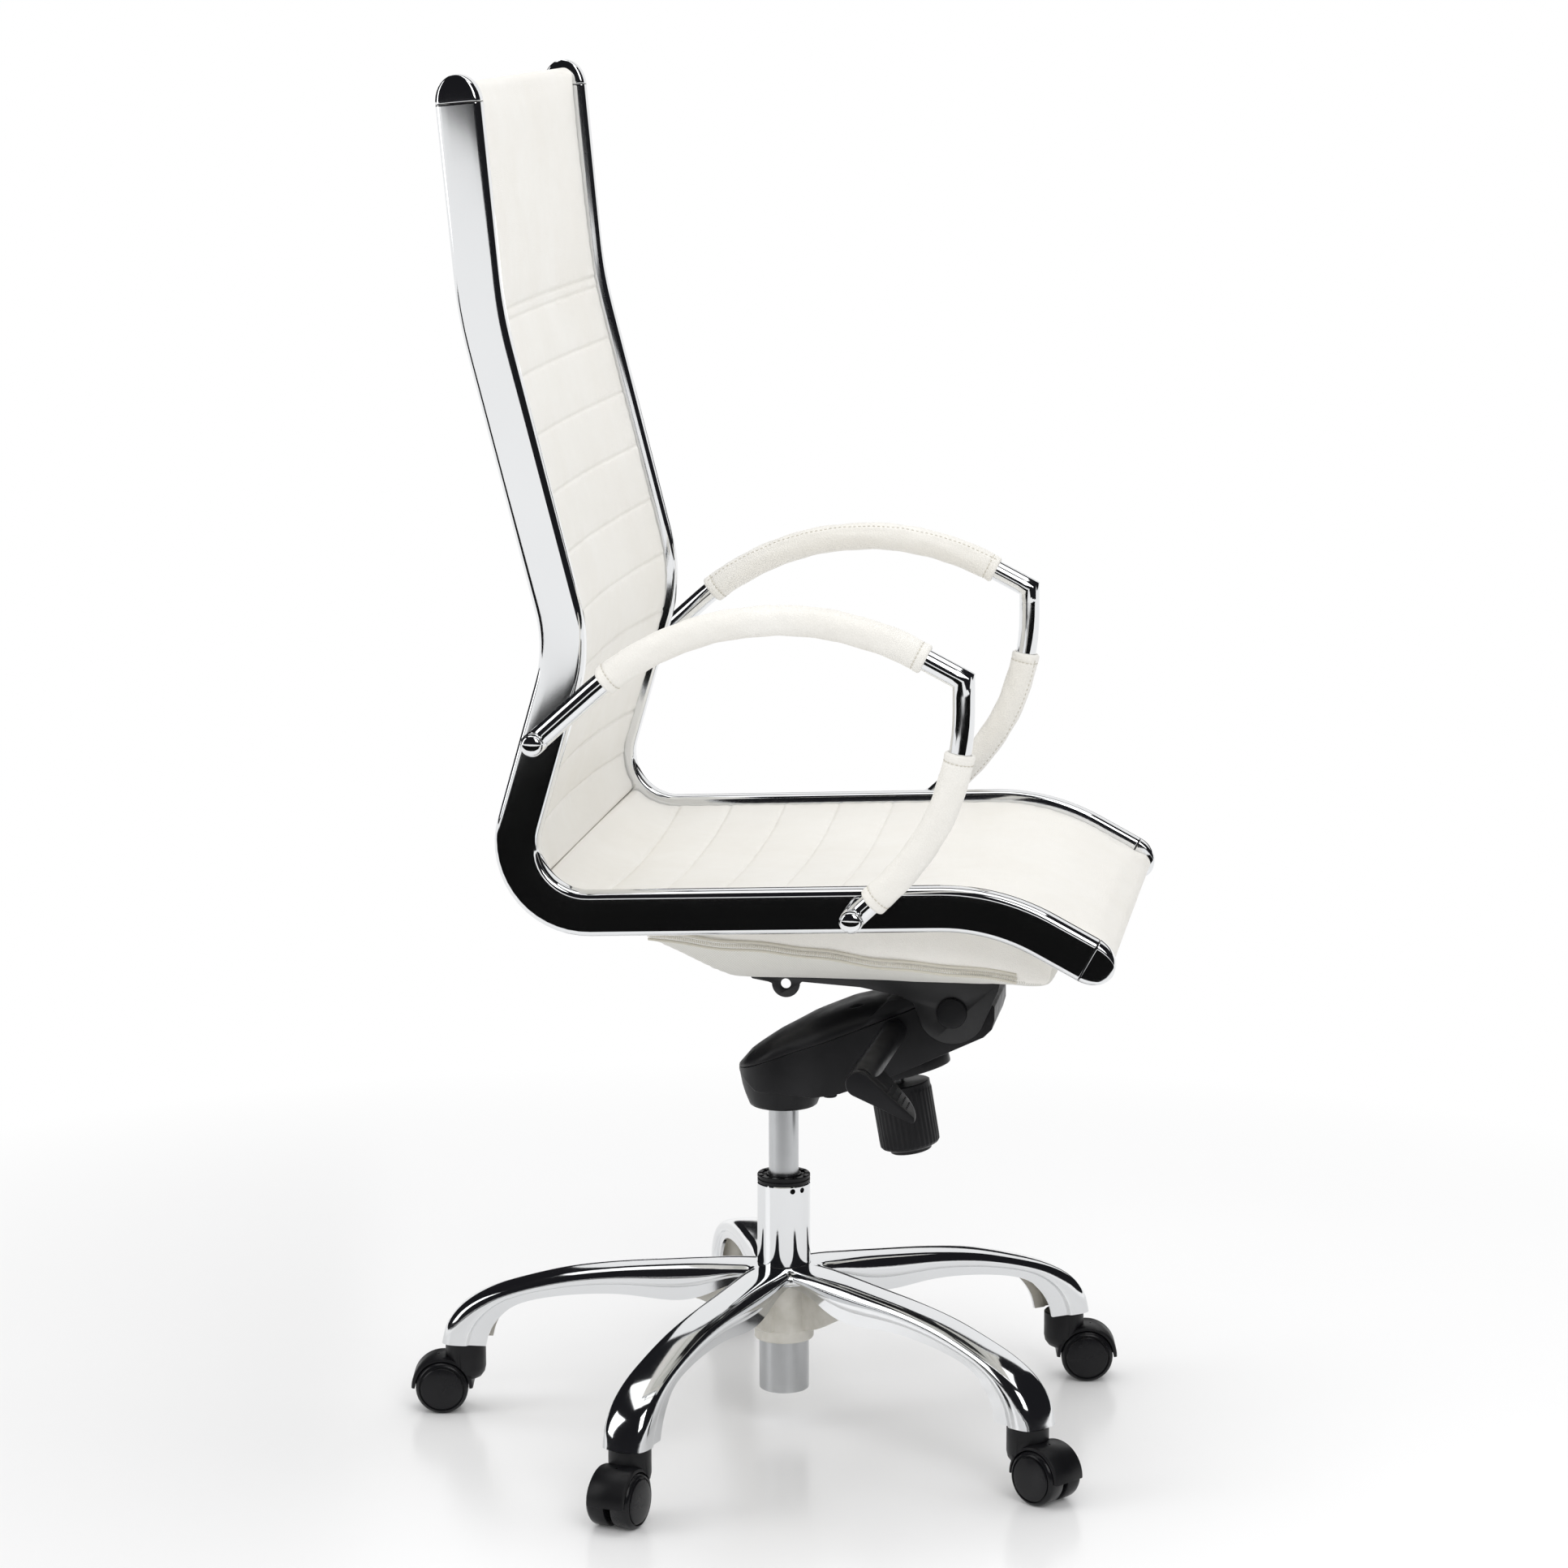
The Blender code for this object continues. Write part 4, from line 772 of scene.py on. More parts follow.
def flat_pad(name, low, high, seams):
    """The pad as cut, laid flat: length along X, width along Y and its face up, with round edges."""
    rows, columns = pad_rows(low, high, seams), pad_columns()
    clear_hands()
    bpy.ops.mesh.primitive_grid_add(
        x_subdivisions=len(rows) - 1, y_subdivisions=len(columns) - 1, size=1, location=(0, 0, 0)
    )
    obj = bpy.context.object
    obj.name = name
    bpy.ops.object.mode_set(mode="EDIT")
    bm = bmesh.from_edit_mesh(obj.data)
    for vert in bm.verts:
        row = round((vert.co.x + 0.5) * (len(rows) - 1))
        column = round((vert.co.y + 0.5) * (len(columns) - 1))
        x, y = rows[row], columns[column]
        drop = edge_drop(PAD_HALF_WIDTH - abs(y)) + edge_drop(min(x - low, high - x))
        vert.co = (x, y, -min(EDGE_ROUND, drop))
    bmesh.update_edit_mesh(obj.data)
    bpy.ops.mesh.select_all(action="SELECT")
    bpy.ops.mesh.extrude_region_move(TRANSFORM_OT_translate={"value": (0, 0, -PAD_THICKNESS)})
    for vert in bm.verts:
        if vert.select:
            vert.co.z = -PAD_THICKNESS + 0.15 * (vert.co.z + PAD_THICKNESS)
    bmesh.update_edit_mesh(obj.data)
    return put_down(obj)


def held_points(obj, low, high, seams):
    """The back of the pad, its edges and its seams are held while the rest is blown up."""
    held = obj.vertex_groups.new(name="held")
    for vert in obj.data.vertices:
        x, y, z = vert.co
        on_seam = any(abs(x - seam) < 0.0012 for seam in seams)
        at_edge = PAD_HALF_WIDTH - abs(y) < 0.002 or min(x - low, high - x) < 0.0012
        if z < -0.75 * PAD_THICKNESS or on_seam or at_edge:
            held.add([vert.index], 1.0, "REPLACE")
    return held


def blown_up(obj, held, pressure, cap, frames=20):
    """Stuffs the pad with pressure, and caps how far a point moves."""
    before = [vert.co.copy() for vert in obj.data.vertices]
    take(obj)
    bpy.ops.object.modifier_add(type="CLOTH")
    cloth = obj.modifiers[-1]
    settings = cloth.settings
    settings.quality = 4
    settings.mass = 0.25
    settings.tension_stiffness = 12
    settings.compression_stiffness = 12
    settings.shear_stiffness = 4
    settings.bending_stiffness = 0.35
    settings.use_pressure = True
    settings.uniform_pressure_force = pressure
    settings.effector_weights.gravity = 0
    if held is not None:
        settings.vertex_group_mass = held.name
    cloth.collision_settings.use_collision = False
    cloth.collision_settings.use_self_collision = False
    cloth.point_cache.frame_start = 1
    cloth.point_cache.frame_end = frames
    scene = bpy.context.scene
    for number in range(1, frames + 1):
        scene.frame_set(number)
    bpy.ops.object.modifier_apply(modifier=cloth.name)
    scene.frame_set(1)
    for vert, start in zip(obj.data.vertices, before):
        step = vert.co - start
        if step.length > 1e-7:
            vert.co = start + step.normalized() * cap * (1 - EULER ** (-step.length / cap))
    return obj


def wrinkle(a, b, c):
    """A slow, even waviness from a few crossing waves."""
    return sin(a + 1.3 * sin(b)) * 0.5 + sin(1.7 * b + 0.9 * sin(c)) * 0.3 + sin(2.3 * c + a) * 0.2


def channelled_pad(name, low, high, seams, dish, body_name, node):
    """A sewn pad: stuffed while flat, then dimpled at its seams and laid along the rails."""
    pad = flat_pad(name, low, high, seams)
    held = held_points(pad, low, high, seams)
    blown_up(pad, held, 6.0, PUFF)
    pad.vertex_groups.clear()
    apply_modifier(pad, "SUBSURF", levels=1, render_levels=1)
    for vert in pad.data.vertices:
        x, y, z = vert.co
        face = min(1.0, max(0.0, (z + PAD_THICKNESS) / PAD_THICKNESS))
        nearest = min([abs(x - seam) for seam in seams] or [1.0])
        inward = min(1.0, (PAD_HALF_WIDTH - abs(y)) / 0.012)
        z -= 0.0016 * bell(nearest, 0.0016) * face**3 * inward
        pucker = bell(nearest, 0.010) * (0.25 + 0.75 * inward)
        z += 0.00045 * pucker * face * sin(y * 640 + 3 * sin(y * 171 + x * 61)) * inward
        z += 0.00050 * face * wrinkle(x * 31, y * 27, (x + y) * 19)
        slack = max(0.0, 1 - abs(PAD_HALF_WIDTH - abs(y) - 0.02) / 0.03)
        z += 0.00035 * slack * face * sin(x * 410 + 2 * sin(x * 90))
        z -= dish(x, y) * face
        vert.co = RAIL_LINE.place(min(max(x, 0.0), RAIL_LINE.length), SEAM_FLOOR + z, y)
    edit(pad)
    bpy.ops.mesh.normals_make_consistent(inside=False)
    bpy.ops.object.mode_set(mode="OBJECT")
    smooth(pad, 70)
    dress(pad, LEATHER, body_name, [node])
    return pad


def across(y):
    """0 at the rails and 1 in the middle of the seat."""
    return 1 - (abs(y) / PAD_HALF_WIDTH) ** 2


def seat_dish(s, y):
    """The seat sags between the rails, least at its front roll."""
    rear = min(1.0, max(0.0, (s - 0.03) / 0.14))
    return 0.0045 + 0.0120 * across(y) * rear - 0.0025 * (abs(y) / PAD_HALF_WIDTH) ** 6


def back_dish(s, y):
    """The back sags between the rails, least at its top."""
    top = min(1.0, max(0.0, (RAIL_LINE.length - s) / 0.20))
    return 0.0030 + (0.0040 + 0.0075 * top) * across(y)


def pads():
    """The seat's pad up to the crease, and the back's from there."""
    seat_low, back_high = 0.004, RAIL_LINE.length - 0.008
    channelled_pad("seat_cushion", seat_low, SEAT_END, SEAT_SEAMS, seat_dish, "seat", "seat_pad")
    seams = (*BACK_SEAMS, *HEAD_SEAMS)
    channelled_pad("back_cushion", BACK_START, back_high, seams, back_dish, "seat", "back_pad")


def thin_panel(name, low, high, front, rear, half, seams, crown, material, node):
    """A covered board: flat inside, softly crowned and seamed outside, with rounded edges."""
    rows = sorted({round(v, 5) for v in pad_rows(low, high, seams)})
    columns = pad_columns()
    clear_hands()
    bpy.ops.mesh.primitive_grid_add(
        x_subdivisions=len(rows) - 1, y_subdivisions=len(columns) - 1, size=1, location=(0, 0, 0)
    )
    obj = bpy.context.object
    obj.name = name
    bpy.ops.object.mode_set(mode="EDIT")
    bm = bmesh.from_edit_mesh(obj.data)
    places = {}
    for vert in bm.verts:
        row = round((vert.co.x + 0.5) * (len(rows) - 1))
        column = round((vert.co.y + 0.5) * (len(columns) - 1))
        x, y = rows[row], columns[column] * half / PAD_HALF_WIDTH
        drop = edge_drop(half - abs(y)) + edge_drop(min(x - low, high - x))
        shallow = min(1.0, drop / EDGE_ROUND) * (front - rear) * 0.75
        nearest = min([abs(x - seam) for seam in seams] or [1.0])
        groove = 0.0014 * bell(nearest, 0.0018)
        swell = crown * (1 - (y / half) ** 4) * (1 - (2 * (x - low) / (high - low) - 1) ** 6)
        swell += 0.0006 * wrinkle(x * 23, y * 29, (x - y) * 17)
        vert.co = (x, y, rear + shallow + groove - swell)
    bmesh.update_edit_mesh(obj.data)
    bpy.ops.mesh.select_all(action="SELECT")
    bpy.ops.mesh.extrude_region_move(TRANSFORM_OT_translate={"value": (0, 0, 0.001)})
    for vert in bm.verts:
        if vert.select:
            vert.co.z = front
    bmesh.update_edit_mesh(obj.data)
    put_down(obj)
    apply_modifier(obj, "SUBSURF", levels=1, render_levels=1)
    for vert in obj.data.vertices:
        x, y, z = vert.co
        vert.co = RAIL_LINE.place(min(max(x, 0.0), RAIL_LINE.length), z, y)
    edit(obj)
    bpy.ops.mesh.normals_make_consistent(inside=False)
    bpy.ops.object.mode_set(mode="OBJECT")
    smooth(obj, 60)
    dress(obj, material, "seat", [node])
    return obj


def panels():
    """The covered boards under the seat and behind the back."""
    total = RAIL_LINE.length
    half = PAD_HALF_WIDTH - 0.0002
    seat_seams = (0.060, 0.270)
    thin_panel(
        "seat_underside", 0.014, SEAT_END, -0.0066, -0.0178, half, seat_seams, 0.0004,
        LEATHER, "seat_board",
    )
    back_seams = (0.640, 0.930, 1.190)
    thin_panel(
        "back_panel", BACK_START, total - 0.012, -0.0066, -0.0168, half, back_seams, 0.0012,
        LEATHER, "back_board",
    )


# ---------------------------------------------------------------- armrests

ARM_POINTS = bent_line([ARM_REAR, ARM_TOP_BEND, ARM_CORNER, ARM_FRONT_BEND, ARM_FRONT], radians(3))
ARM_LINE = Line(ARM_POINTS, 0.012)


def mitred_rings(points, radius, centre_y, count):
    """Round sections along the arm's line, laid in the mitre plane where it turns sharply."""
    rings = []
    for k, point in enumerate(points):
        sides = []
        if k > 0:
            sides.append((point - points[k - 1]).normalized())
        if k < len(points) - 1:
            sides.append((points[k + 1] - point).normalized())
        normals = [Vector((s.y, -s.x)) for s in sides]
        middle = sum(normals, Vector((0, 0))).normalized()
        middle = middle / middle.dot(normals[0])
        ring = []
        for j in range(count):
            a = 2 * pi * (j + 0.5) / count
            flat = point + middle * radius * cos(a)
            ring.append(Vector((AXIS_X + flat.x, centre_y + radius * sin(a), COLLAR_Z + flat.y)))
        rings.append(ring)
    return rings


def barrel_profile():
    """The short barrel that stands the armrest off the rail."""
    low, high = RAIL_OUTER_Y + 0.0004, 0.302
    return [
        (0.0, low), (0.0088, low), (0.0104, low + 0.0012), (0.0104, high - 0.0012),
        (0.0098, high - 0.0002), (0.0092, high), (0.0, high),
    ]


def cap_profile():
    """The domed button on a barrel's end."""
    low = 0.3023
    dome = [
        (0.0090 * cos(radians(a)), low + 0.0018 + 0.0031 * sin(radians(a)))
        for a in (0, 18, 36, 54, 70, 82)
    ]
    return [(0.0, low), (0.0086, low), (0.0090, low + 0.0005), *dome, (0.0, low + 0.0049)]


def arm_tube(side, label):
    """The bent tube, mitred at its front corner and welded to a barrel at each end."""
    points = [ARM_LINE.at(0.004)[0]] + ARM_LINE.points[1:-1] + [ARM_LINE.at(ARM_LINE.length - 0.004)[0]]
    tube = drawn_through(f"arm_bar_{label}", mitred_rings(points, ARM_TUBE_RADIUS, ARM_CENTRE_Y, 28), True)
    for x, z in (ARM_REAR, ARM_FRONT):
        placement = lying(AXIS_X + x, 0, COLLAR_Z + z)
        cut_with(tube, turned_at(placement, "barrel", barrel_profile(), 36), "UNION")
    soften(tube, 0.0007, 2, 38)
    if side < 0:
        settle(tube, MIRROR)
    smooth(tube, 35)
    dress(tube, CHROME, "seat", [f"arm_tube_{label}"])
    for end, (x, z) in (("rear", ARM_REAR), ("front", ARM_FRONT)):
        cap = turned_at(lying(AXIS_X + x, 0, COLLAR_Z + z), f"arm_button_{end}_{label}", cap_profile(), 36)
        if side < 0:
            settle(cap, MIRROR)
        smooth(cap, 35)
        dress(cap, CHROME, "seat", [f"arm_cap_{end}_{label}"])


SEAM_TURN = radians(-128)  # where the sleeve's edge laps, round from its upper side to the outside below
LAP = 0.0009


def sleeve_radius(s, low, high, turn, phase):
    """The wrapped leather's radius: a lap where its edge is sewn, hems at its ends, small slack folds."""
    past = (turn - SEAM_TURN + pi) % (2 * pi) - pi
    lap = LAP / (1 + EULER ** (past * 60)) if abs(past) < 1.2 else 0.0
    lap *= max(0.0, 1 - max(0.0, -past) / 1.1)
    end = min(s - low, high - s)
    hem = -0.0007 * bell(end - 0.0085, 0.0011)
    roll = -0.0020 * max(0.0, 1 - end / 0.0022) ** 2
    fold = 0.00035 * sin(s * 95 + phase + 1.7 * sin(turn * 2)) * sin(turn * 3 + s * 21)
    fold += 0.00022 * sin(s * 210 + turn * 4 + phase)
    return SLEEVE_RADIUS - 0.0006 + lap + hem + roll + fold


def arm_frame(s):
    """The arm's centre at a distance along it, with its outward, sideward and forward directions."""
    point, heading = ARM_LINE.at(s)
    out = Vector((heading.y, -heading.x))
    centre = Vector((AXIS_X + point.x, ARM_CENTRE_Y, COLLAR_Z + point.y))
    return centre, Vector((out.x, 0, out.y)), Vector((0, 1, 0)), Vector((heading.x, 0, heading.y))


def sleeve(side, label, place, span):
    """The leather wrapped round a stretch of the arm."""
    low, high = span
    ends = [0.0, 0.0006, 0.0014, 0.0024, 0.0045, 0.0068, 0.0078, 0.0085, 0.0092, 0.0102, 0.012]
    middle = spaced(low + 0.016, high - 0.016, 0.004)
    stations = [low + e for e in ends] + middle + [high - e for e in reversed(ends)]
    turns = sorted(2 * pi * k / 44 - pi for k in range(44))
    phase = 1.9 if place == "top" else 0.4
    rings = []
    for s in stations:
        centre, out, aside, _ = arm_frame(s)
        radii = [sleeve_radius(s, low, high, a, phase) for a in turns]
        rings.append([centre + (out * cos(a) + aside * sin(a)) * r for a, r in zip(turns, radii)])
    for s in [high - 0.0004, *reversed(spaced(low + 0.010, high - 0.010, 0.010)), low + 0.0004]:
        centre, out, aside, _ = arm_frame(s)
        radius = ARM_TUBE_RADIUS + 0.0002
        rings.append([centre + (out * cos(a) + aside * sin(a)) * radius for a in turns])
    rings.append(rings[0])
    body = drawn_through(f"arm_wrap_{place}_{label}", rings)
    edit(body)
    put_down(body)
    if side < 0:
        settle(body, MIRROR)
    smooth(body, 60)
    dress(body, SLEEVE_LEATHER, "seat", [f"arm_sleeve_{place}_{label}"])
    stitches(side, label, place, span, phase)


def stitch(name, length, thick):
    """One stitch: a short round bar that dives at its ends."""
    rings = []
    bends = ((-0.5, -1.0, 0.25), (-0.42, -0.35, 0.8), (-0.2, 0.25, 1.0))
    bends += ((0.2, 0.25, 1.0), (0.42, -0.35, 0.8), (0.5, -1.0, 0.25))
    for share, lift, size in bends:
        ring = []
        for k in range(6):
            a = 2 * pi * k / 6
            ring.append(Vector((share * length, thick * size * cos(a), thick * (lift + size * sin(a)))))
        rings.append(ring)
    return drawn_through(name, rings, True)


def laid(matrices, pattern, name):
    """Copies of one small piece, each with its own place, as one object."""
    bm = bmesh.new()
    for matrix in matrices:
        start = len(bm.verts)
        bm.from_mesh(pattern.data)
        bm.verts.ensure_lookup_table()
        for vert in bm.verts[start:]:
            vert.co = matrix @ vert.co
    mesh = bpy.data.meshes.new(name)
    bm.to_mesh(mesh)
    bm.free()
    made = bpy.data.objects.new(name, mesh)
    bpy.context.scene.collection.objects.link(made)
    bpy.data.objects.remove(pattern, do_unlink=True)
    edit(made)
    bpy.ops.mesh.normals_make_consistent(inside=False)
    bpy.ops.object.mode_set(mode="OBJECT")
    return smooth(made, 60)


def basis(along, up, origin):
    """A placement with its length along one direction and its top towards another."""
    side = up.cross(along).normalized()
    up = along.cross(side).normalized()
    return Matrix((
        (along.x, side.x, up.x, origin.x),
        (along.y, side.y, up.y, origin.y),
        (along.z, side.z, up.z, origin.z),
        (0, 0, 0, 1),
    ))


def stitches(side, label, place, span, phase):
    """The sewn edge along the sleeve and the hem round each of its ends."""
    low, high = span
    places = []
    turn = SEAM_TURN - 0.22
    for s in spaced(low + 0.006, high - 0.006, 0.0046):
        centre, out, aside, ahead = arm_frame(s)
        away = out * cos(turn) + aside * sin(turn)
        reach = sleeve_radius(s, low, high, turn, phase) + 0.00015
        places.append(basis(ahead, away, centre + away * reach))
    for s in (low + 0.0085, high - 0.0085):
        centre, out, aside, ahead = arm_frame(s)
        for k in range(20):
            a = 2 * pi * k / 20
            away = out * cos(a) + aside * sin(a)
            round_it = ahead.cross(away)
            reach = sleeve_radius(s, low, high, a, phase) + 0.0003
            places.append(basis(round_it, away, centre + away * reach))
    made = laid(places, stitch("stitch", 0.0030, 0.00038), f"arm_stitches_{place}_{label}")
    if side < 0:
        settle(made, MIRROR)
        smooth(made, 60)
    dress(made, THREAD, "seat", ())


def armrests():
    """Both armrests, each a tube with two sleeves."""
    for side, label in SIDES:
        arm_tube(side, label)
        sleeve(side, label, "top", TOP_SLEEVE)
        sleeve(side, label, "front", FRONT_SLEEVE)


# ---------------------------------------------------------------- casters


def caster_hood():
    """The swivel neck and the shell over the wheels, with the web between the wheels."""
    shell_radius, half = 0.0294, 0.0184
    profile = [
        (0.0, -half), (shell_radius - 0.0030, -half), (shell_radius - 0.0009, -half + 0.0008),
        (shell_radius, -half + 0.0026), (shell_radius, half - 0.0026),
        (shell_radius - 0.0009, half - 0.0008), (shell_radius - 0.0030, half), (0.0, half),
    ]
    shell = turned_at(lying(TRAIL, 0, WHEEL_RADIUS), "hood", profile, 64)
    outline = [(-0.1, -0.05), (0.1, -0.05), (0.1, WHEEL_RADIUS - 0.0005), (-0.1, WHEEL_RADIUS - 0.0005)]
    cut_with(shell, slab_from("below", outline, -0.05, 0.05))
    neck = [
        (0.0, 0.0306), (0.0105, 0.0306), (0.0150, 0.0330), (0.0182, 0.0375), (0.0193, 0.0430),
        (0.0193, CASTER_TOP - 0.0015), (0.0180, CASTER_TOP - 0.0002), (0.0, CASTER_TOP - 0.0002),
    ]
    cut_with(shell, turned("neck", neck, 48), "UNION")
    for low in (0.0026, -0.0626):
        drum = [(0, 0), (0.0261, 0), (0.0261, 0.06), (0, 0.06)]
        room = turned_at(lying(TRAIL, low, WHEEL_RADIUS), "room", drum, 64)
        cut_with(shell, room)
    disc = [(0, 0), (0.014, 0), (0.014, 0.0052), (0, 0.0052)]
    web = turned_at(lying(TRAIL, -0.0026, WHEEL_RADIUS), "web", disc, 40)
    cut_with(shell, web, "UNION")
    bit = [(0, 0.05), (0.0011, 0.05), (0.0011, 0.07), (0, 0.07)]
    dimple = turned_at(at(0.0, 0.0, 0.0), "dimple", bit, 16)
    settle(dimple, at(TRAIL + 0.004, 0, -0.0005))
    cut_with(shell, dimple)
    socket = turned("socket", [(0, 0.0475), (0.0058, 0.0475), (0.0058, 0.08), (0, 0.08)], 24)
    cut_with(shell, socket)
    soften(shell, 0.0006, 2, 40)
    return smooth(shell, 35)


def wheel_profile():
    """(radius, height) of a wheel from its inner side out: tread, rim edge, groove, and a low domed cap."""
    rim = WHEEL_RADIUS
    return [
        (0.0033, 0.0), (0.0235, 0.0), (rim - 0.0006, 0.0005), (rim, 0.0016), (rim, 0.0120), (rim, 0.0146),
        (rim - 0.0004, 0.0158), (rim - 0.0014, 0.0170), (rim - 0.0026, 0.0181), (rim - 0.0034, 0.0183),
        (rim - 0.0038, 0.0178), (rim - 0.0041, 0.0170), (rim - 0.0046, 0.0170), (rim - 0.0048, 0.0182),
        (rim - 0.0056, 0.0190), (rim - 0.0080, 0.0195), (0.0120, 0.0201), (0.0060, 0.0204), (0.0, 0.0205),
    ]


def casters():
    """Five casters, each with a shell and two wheels."""
    hood = caster_hood()
    wheel = turned("wheel", wheel_profile(), 72)
    edit(wheel, "DESELECT")
    bm = bmesh.from_edit_mesh(wheel.data)
    for face in bm.faces:
        middle = face.calc_center_median()
        if middle.z > 0.0171 and hypot(middle.x, middle.y) < WHEEL_RADIUS - 0.0046:
            face.material_index = 1
    bmesh.update_edit_mesh(wheel.data)
    bpy.ops.object.mode_set(mode="OBJECT")
    smooth(wheel, 32)
    for number, (arm, turn) in enumerate(zip(ARM_ANGLES, CASTER_TURNS), 1):
        spot = at(AXIS_X + STEM_CIRCLE * cos(radians(arm)), STEM_CIRCLE * sin(radians(arm)), 0)
        facing = spot @ Matrix.Rotation(radians(turn), 4, "Z")
        made = copy_of(hood, f"caster_shell_{number}", facing)
        dress(made, PLASTIC, f"caster_{number}", [f"caster_hood_{number}"])
        for side, label in SIDES:
            on_axle = at(TRAIL, side * 0.0030, WHEEL_RADIUS)
            placement = facing @ on_axle @ Matrix.Rotation(-side * pi / 2, 4, "X")
            made = copy_of(wheel, f"caster_roller_{number}_{label}", placement)
            dress(made, WHEEL_PLASTIC, f"wheel_{number}_{label}", [f"caster_wheel_{number}_{label}"])
            made.data.materials.append(CAP_PLASTIC)
    bpy.data.objects.remove(hood, do_unlink=True)
    bpy.data.objects.remove(wheel, do_unlink=True)


# ---------------------------------------------------------------- base and column

FOOT_HEIGHT = 0.0678
ARM_RIDGE = FOOT_HEIGHT + 0.090
ARM_EDGE = FOOT_HEIGHT + 0.056
ARM_TIP = STEM_CIRCLE + 0.0215
ARM_HEEL = ARM_TIP - 0.045
CASTING_WALL = 0.0036
HUB_RADIUS = 0.028
HUB_LOW = 0.0848
HUB_TOP = 0.1530


def even_curve(rows, parts):
    """Extra rows between given ones, on a smooth curve through them."""
    made = []
    for k in range(len(rows) - 1):
        a, b, c, d = (rows[min(max(i, 0), len(rows) - 1)] for i in (k - 1, k, k + 1, k + 2))
        for j in range(parts):
            t = j / parts
            weights = (
                -0.5 * t + t * t - 0.5 * t**3, 1 - 2.5 * t * t + 1.5 * t**3,
                0.5 * t + 2 * t * t - 1.5 * t**3, -0.5 * t * t + 0.5 * t**3,
            )
            made.append(tuple(sum(w * v for w, v in zip(weights, values)) for values in zip(a, b, c, d)))
    made.append(tuple(rows[-1]))
    return made


def arm_rows():
    """(out, height) of the ridge and of the lower edge, and half the width, from hub to foot."""
    ridge, edge, tip, heel = ARM_RIDGE, ARM_EDGE, ARM_TIP, ARM_HEEL
    return [
        (0.010, ridge, 0.010, edge + 0.018, 0.0215),
        (0.045, ridge, 0.045, edge + 0.015, 0.0222),
        (0.078, ridge - 0.0012, 0.078, edge + 0.001, 0.0212),
        (0.108, ridge - 0.0034, 0.106, edge - 0.0035, 0.0202),
        (0.160, ridge - 0.0080, 0.155, edge, 0.0193),
        (tip - 0.122, ridge - 0.0150, heel - 0.088, edge - 0.002, 0.0193),
        (tip - 0.078, ridge - 0.0265, heel - 0.050, edge - 0.008, 0.0198),
        (tip - 0.045, ridge - 0.0380, heel - 0.027, edge - 0.016, 0.0207),
        (tip - 0.021, ridge - 0.0520, heel - 0.013, edge - 0.028, 0.0217),
        (tip - 0.006, ridge - 0.0700, heel - 0.004, edge - 0.042, 0.0222),
        (tip, FOOT_HEIGHT, heel, FOOT_HEIGHT, 0.0220),
    ]


# across an arm: how far out and how far up each corner lies, from the set-back wall to the ridge
ARM_SHAPE = (
    (0.84, 0.0), (0.845, 0.20), (0.85, 0.36), (0.90, 0.39), (0.965, 0.41), (0.995, 0.45), (1.0, 0.52),
    (0.995, 0.62), (0.975, 0.72), (0.93, 0.81), (0.85, 0.885), (0.73, 0.94), (0.56, 0.975), (0.32, 0.995),
)


def arm_section(row, inset):
    """The arm's section at a row: a rounded arch, set in by a wall's thickness."""
    ridge_x, ridge_z, edge_x, edge_z, half = row
    rise = hypot(ridge_x - edge_x, ridge_z - edge_z)
    shape = list(ARM_SHAPE) + [(0.0, 1.0)] + [(-u, v) for u, v in reversed(ARM_SHAPE)]
    ring = []
    for u, v in shape:
        share = v * (1 - inset / rise) - (2 * inset / rise) * (1 - v)
        x = edge_x + (ridge_x - edge_x) * share
        z = edge_z + (ridge_z - edge_z) * share
        ring.append(Vector((x, u * (half - inset), z)))
    return ring


def two_finishes(obj, index=0):
    """Polished outside and raw inside: the index says which of them a shape's faces have."""
    obj.data.materials.clear()
    obj.data.materials.append(CASTING)
    obj.data.materials.append(RAW)
    for face in obj.data.polygons:
        face.material_index = index
    return obj


def base_arm():
    """One hollow arm with its rib and the boss for the caster's stem."""
    rows = even_curve(arm_rows(), 4)
    arm = two_finishes(drawn_through("arm", [arm_section(row, 0) for row in rows], True))
    room = drawn_through("room", [arm_section(row, CASTING_WALL) for row in rows[4:]], True)
    cut_with(arm, two_finishes(room, 1))
    boss = turned("boss", [(0, 0.0682), (0.0118, 0.0682), (0.0122, 0.0690), (0.0126, 0.128), (0, 0.128)], 32)
    settle(boss, at(STEM_CIRCLE, 0, 0))
    core = drawn_through("core", [arm_section(row, CASTING_WALL / 2) for row in rows], True)
    cut_with(boss, core, "INTERSECT")
    cut_with(arm, two_finishes(boss, 1), "UNION")
    end = 0.5 * ARM_TIP
    line = [(HUB_RADIUS - 0.003, HUB_LOW + 0.012), (0.045, HUB_LOW + 0.016)]
    line += [(0.24 * ARM_TIP, ARM_EDGE - 0.006)]
    line += [(0.37 * ARM_TIP, ARM_EDGE + 0.002), (end, ARM_EDGE + 0.006)]
    line = even_curve(line, 4) + [(end, ARM_RIDGE - 0.0115), (0.3035 * ARM_TIP, ARM_RIDGE - 0.0048)]
    line += [(HUB_RADIUS - 0.003, ARM_RIDGE - 0.0022)]
    cut_with(arm, two_finishes(slab_from("rib", line, -0.003, 0.003), 1), "UNION")
    socket = turned("socket", [(0, 0.05), (0.0058, 0.05), (0.0058, 0.0943), (0, 0.0943)], 24)
    cut_with(arm, two_finishes(settle(socket, at(STEM_CIRCLE, 0, 0)), 1))
    return arm


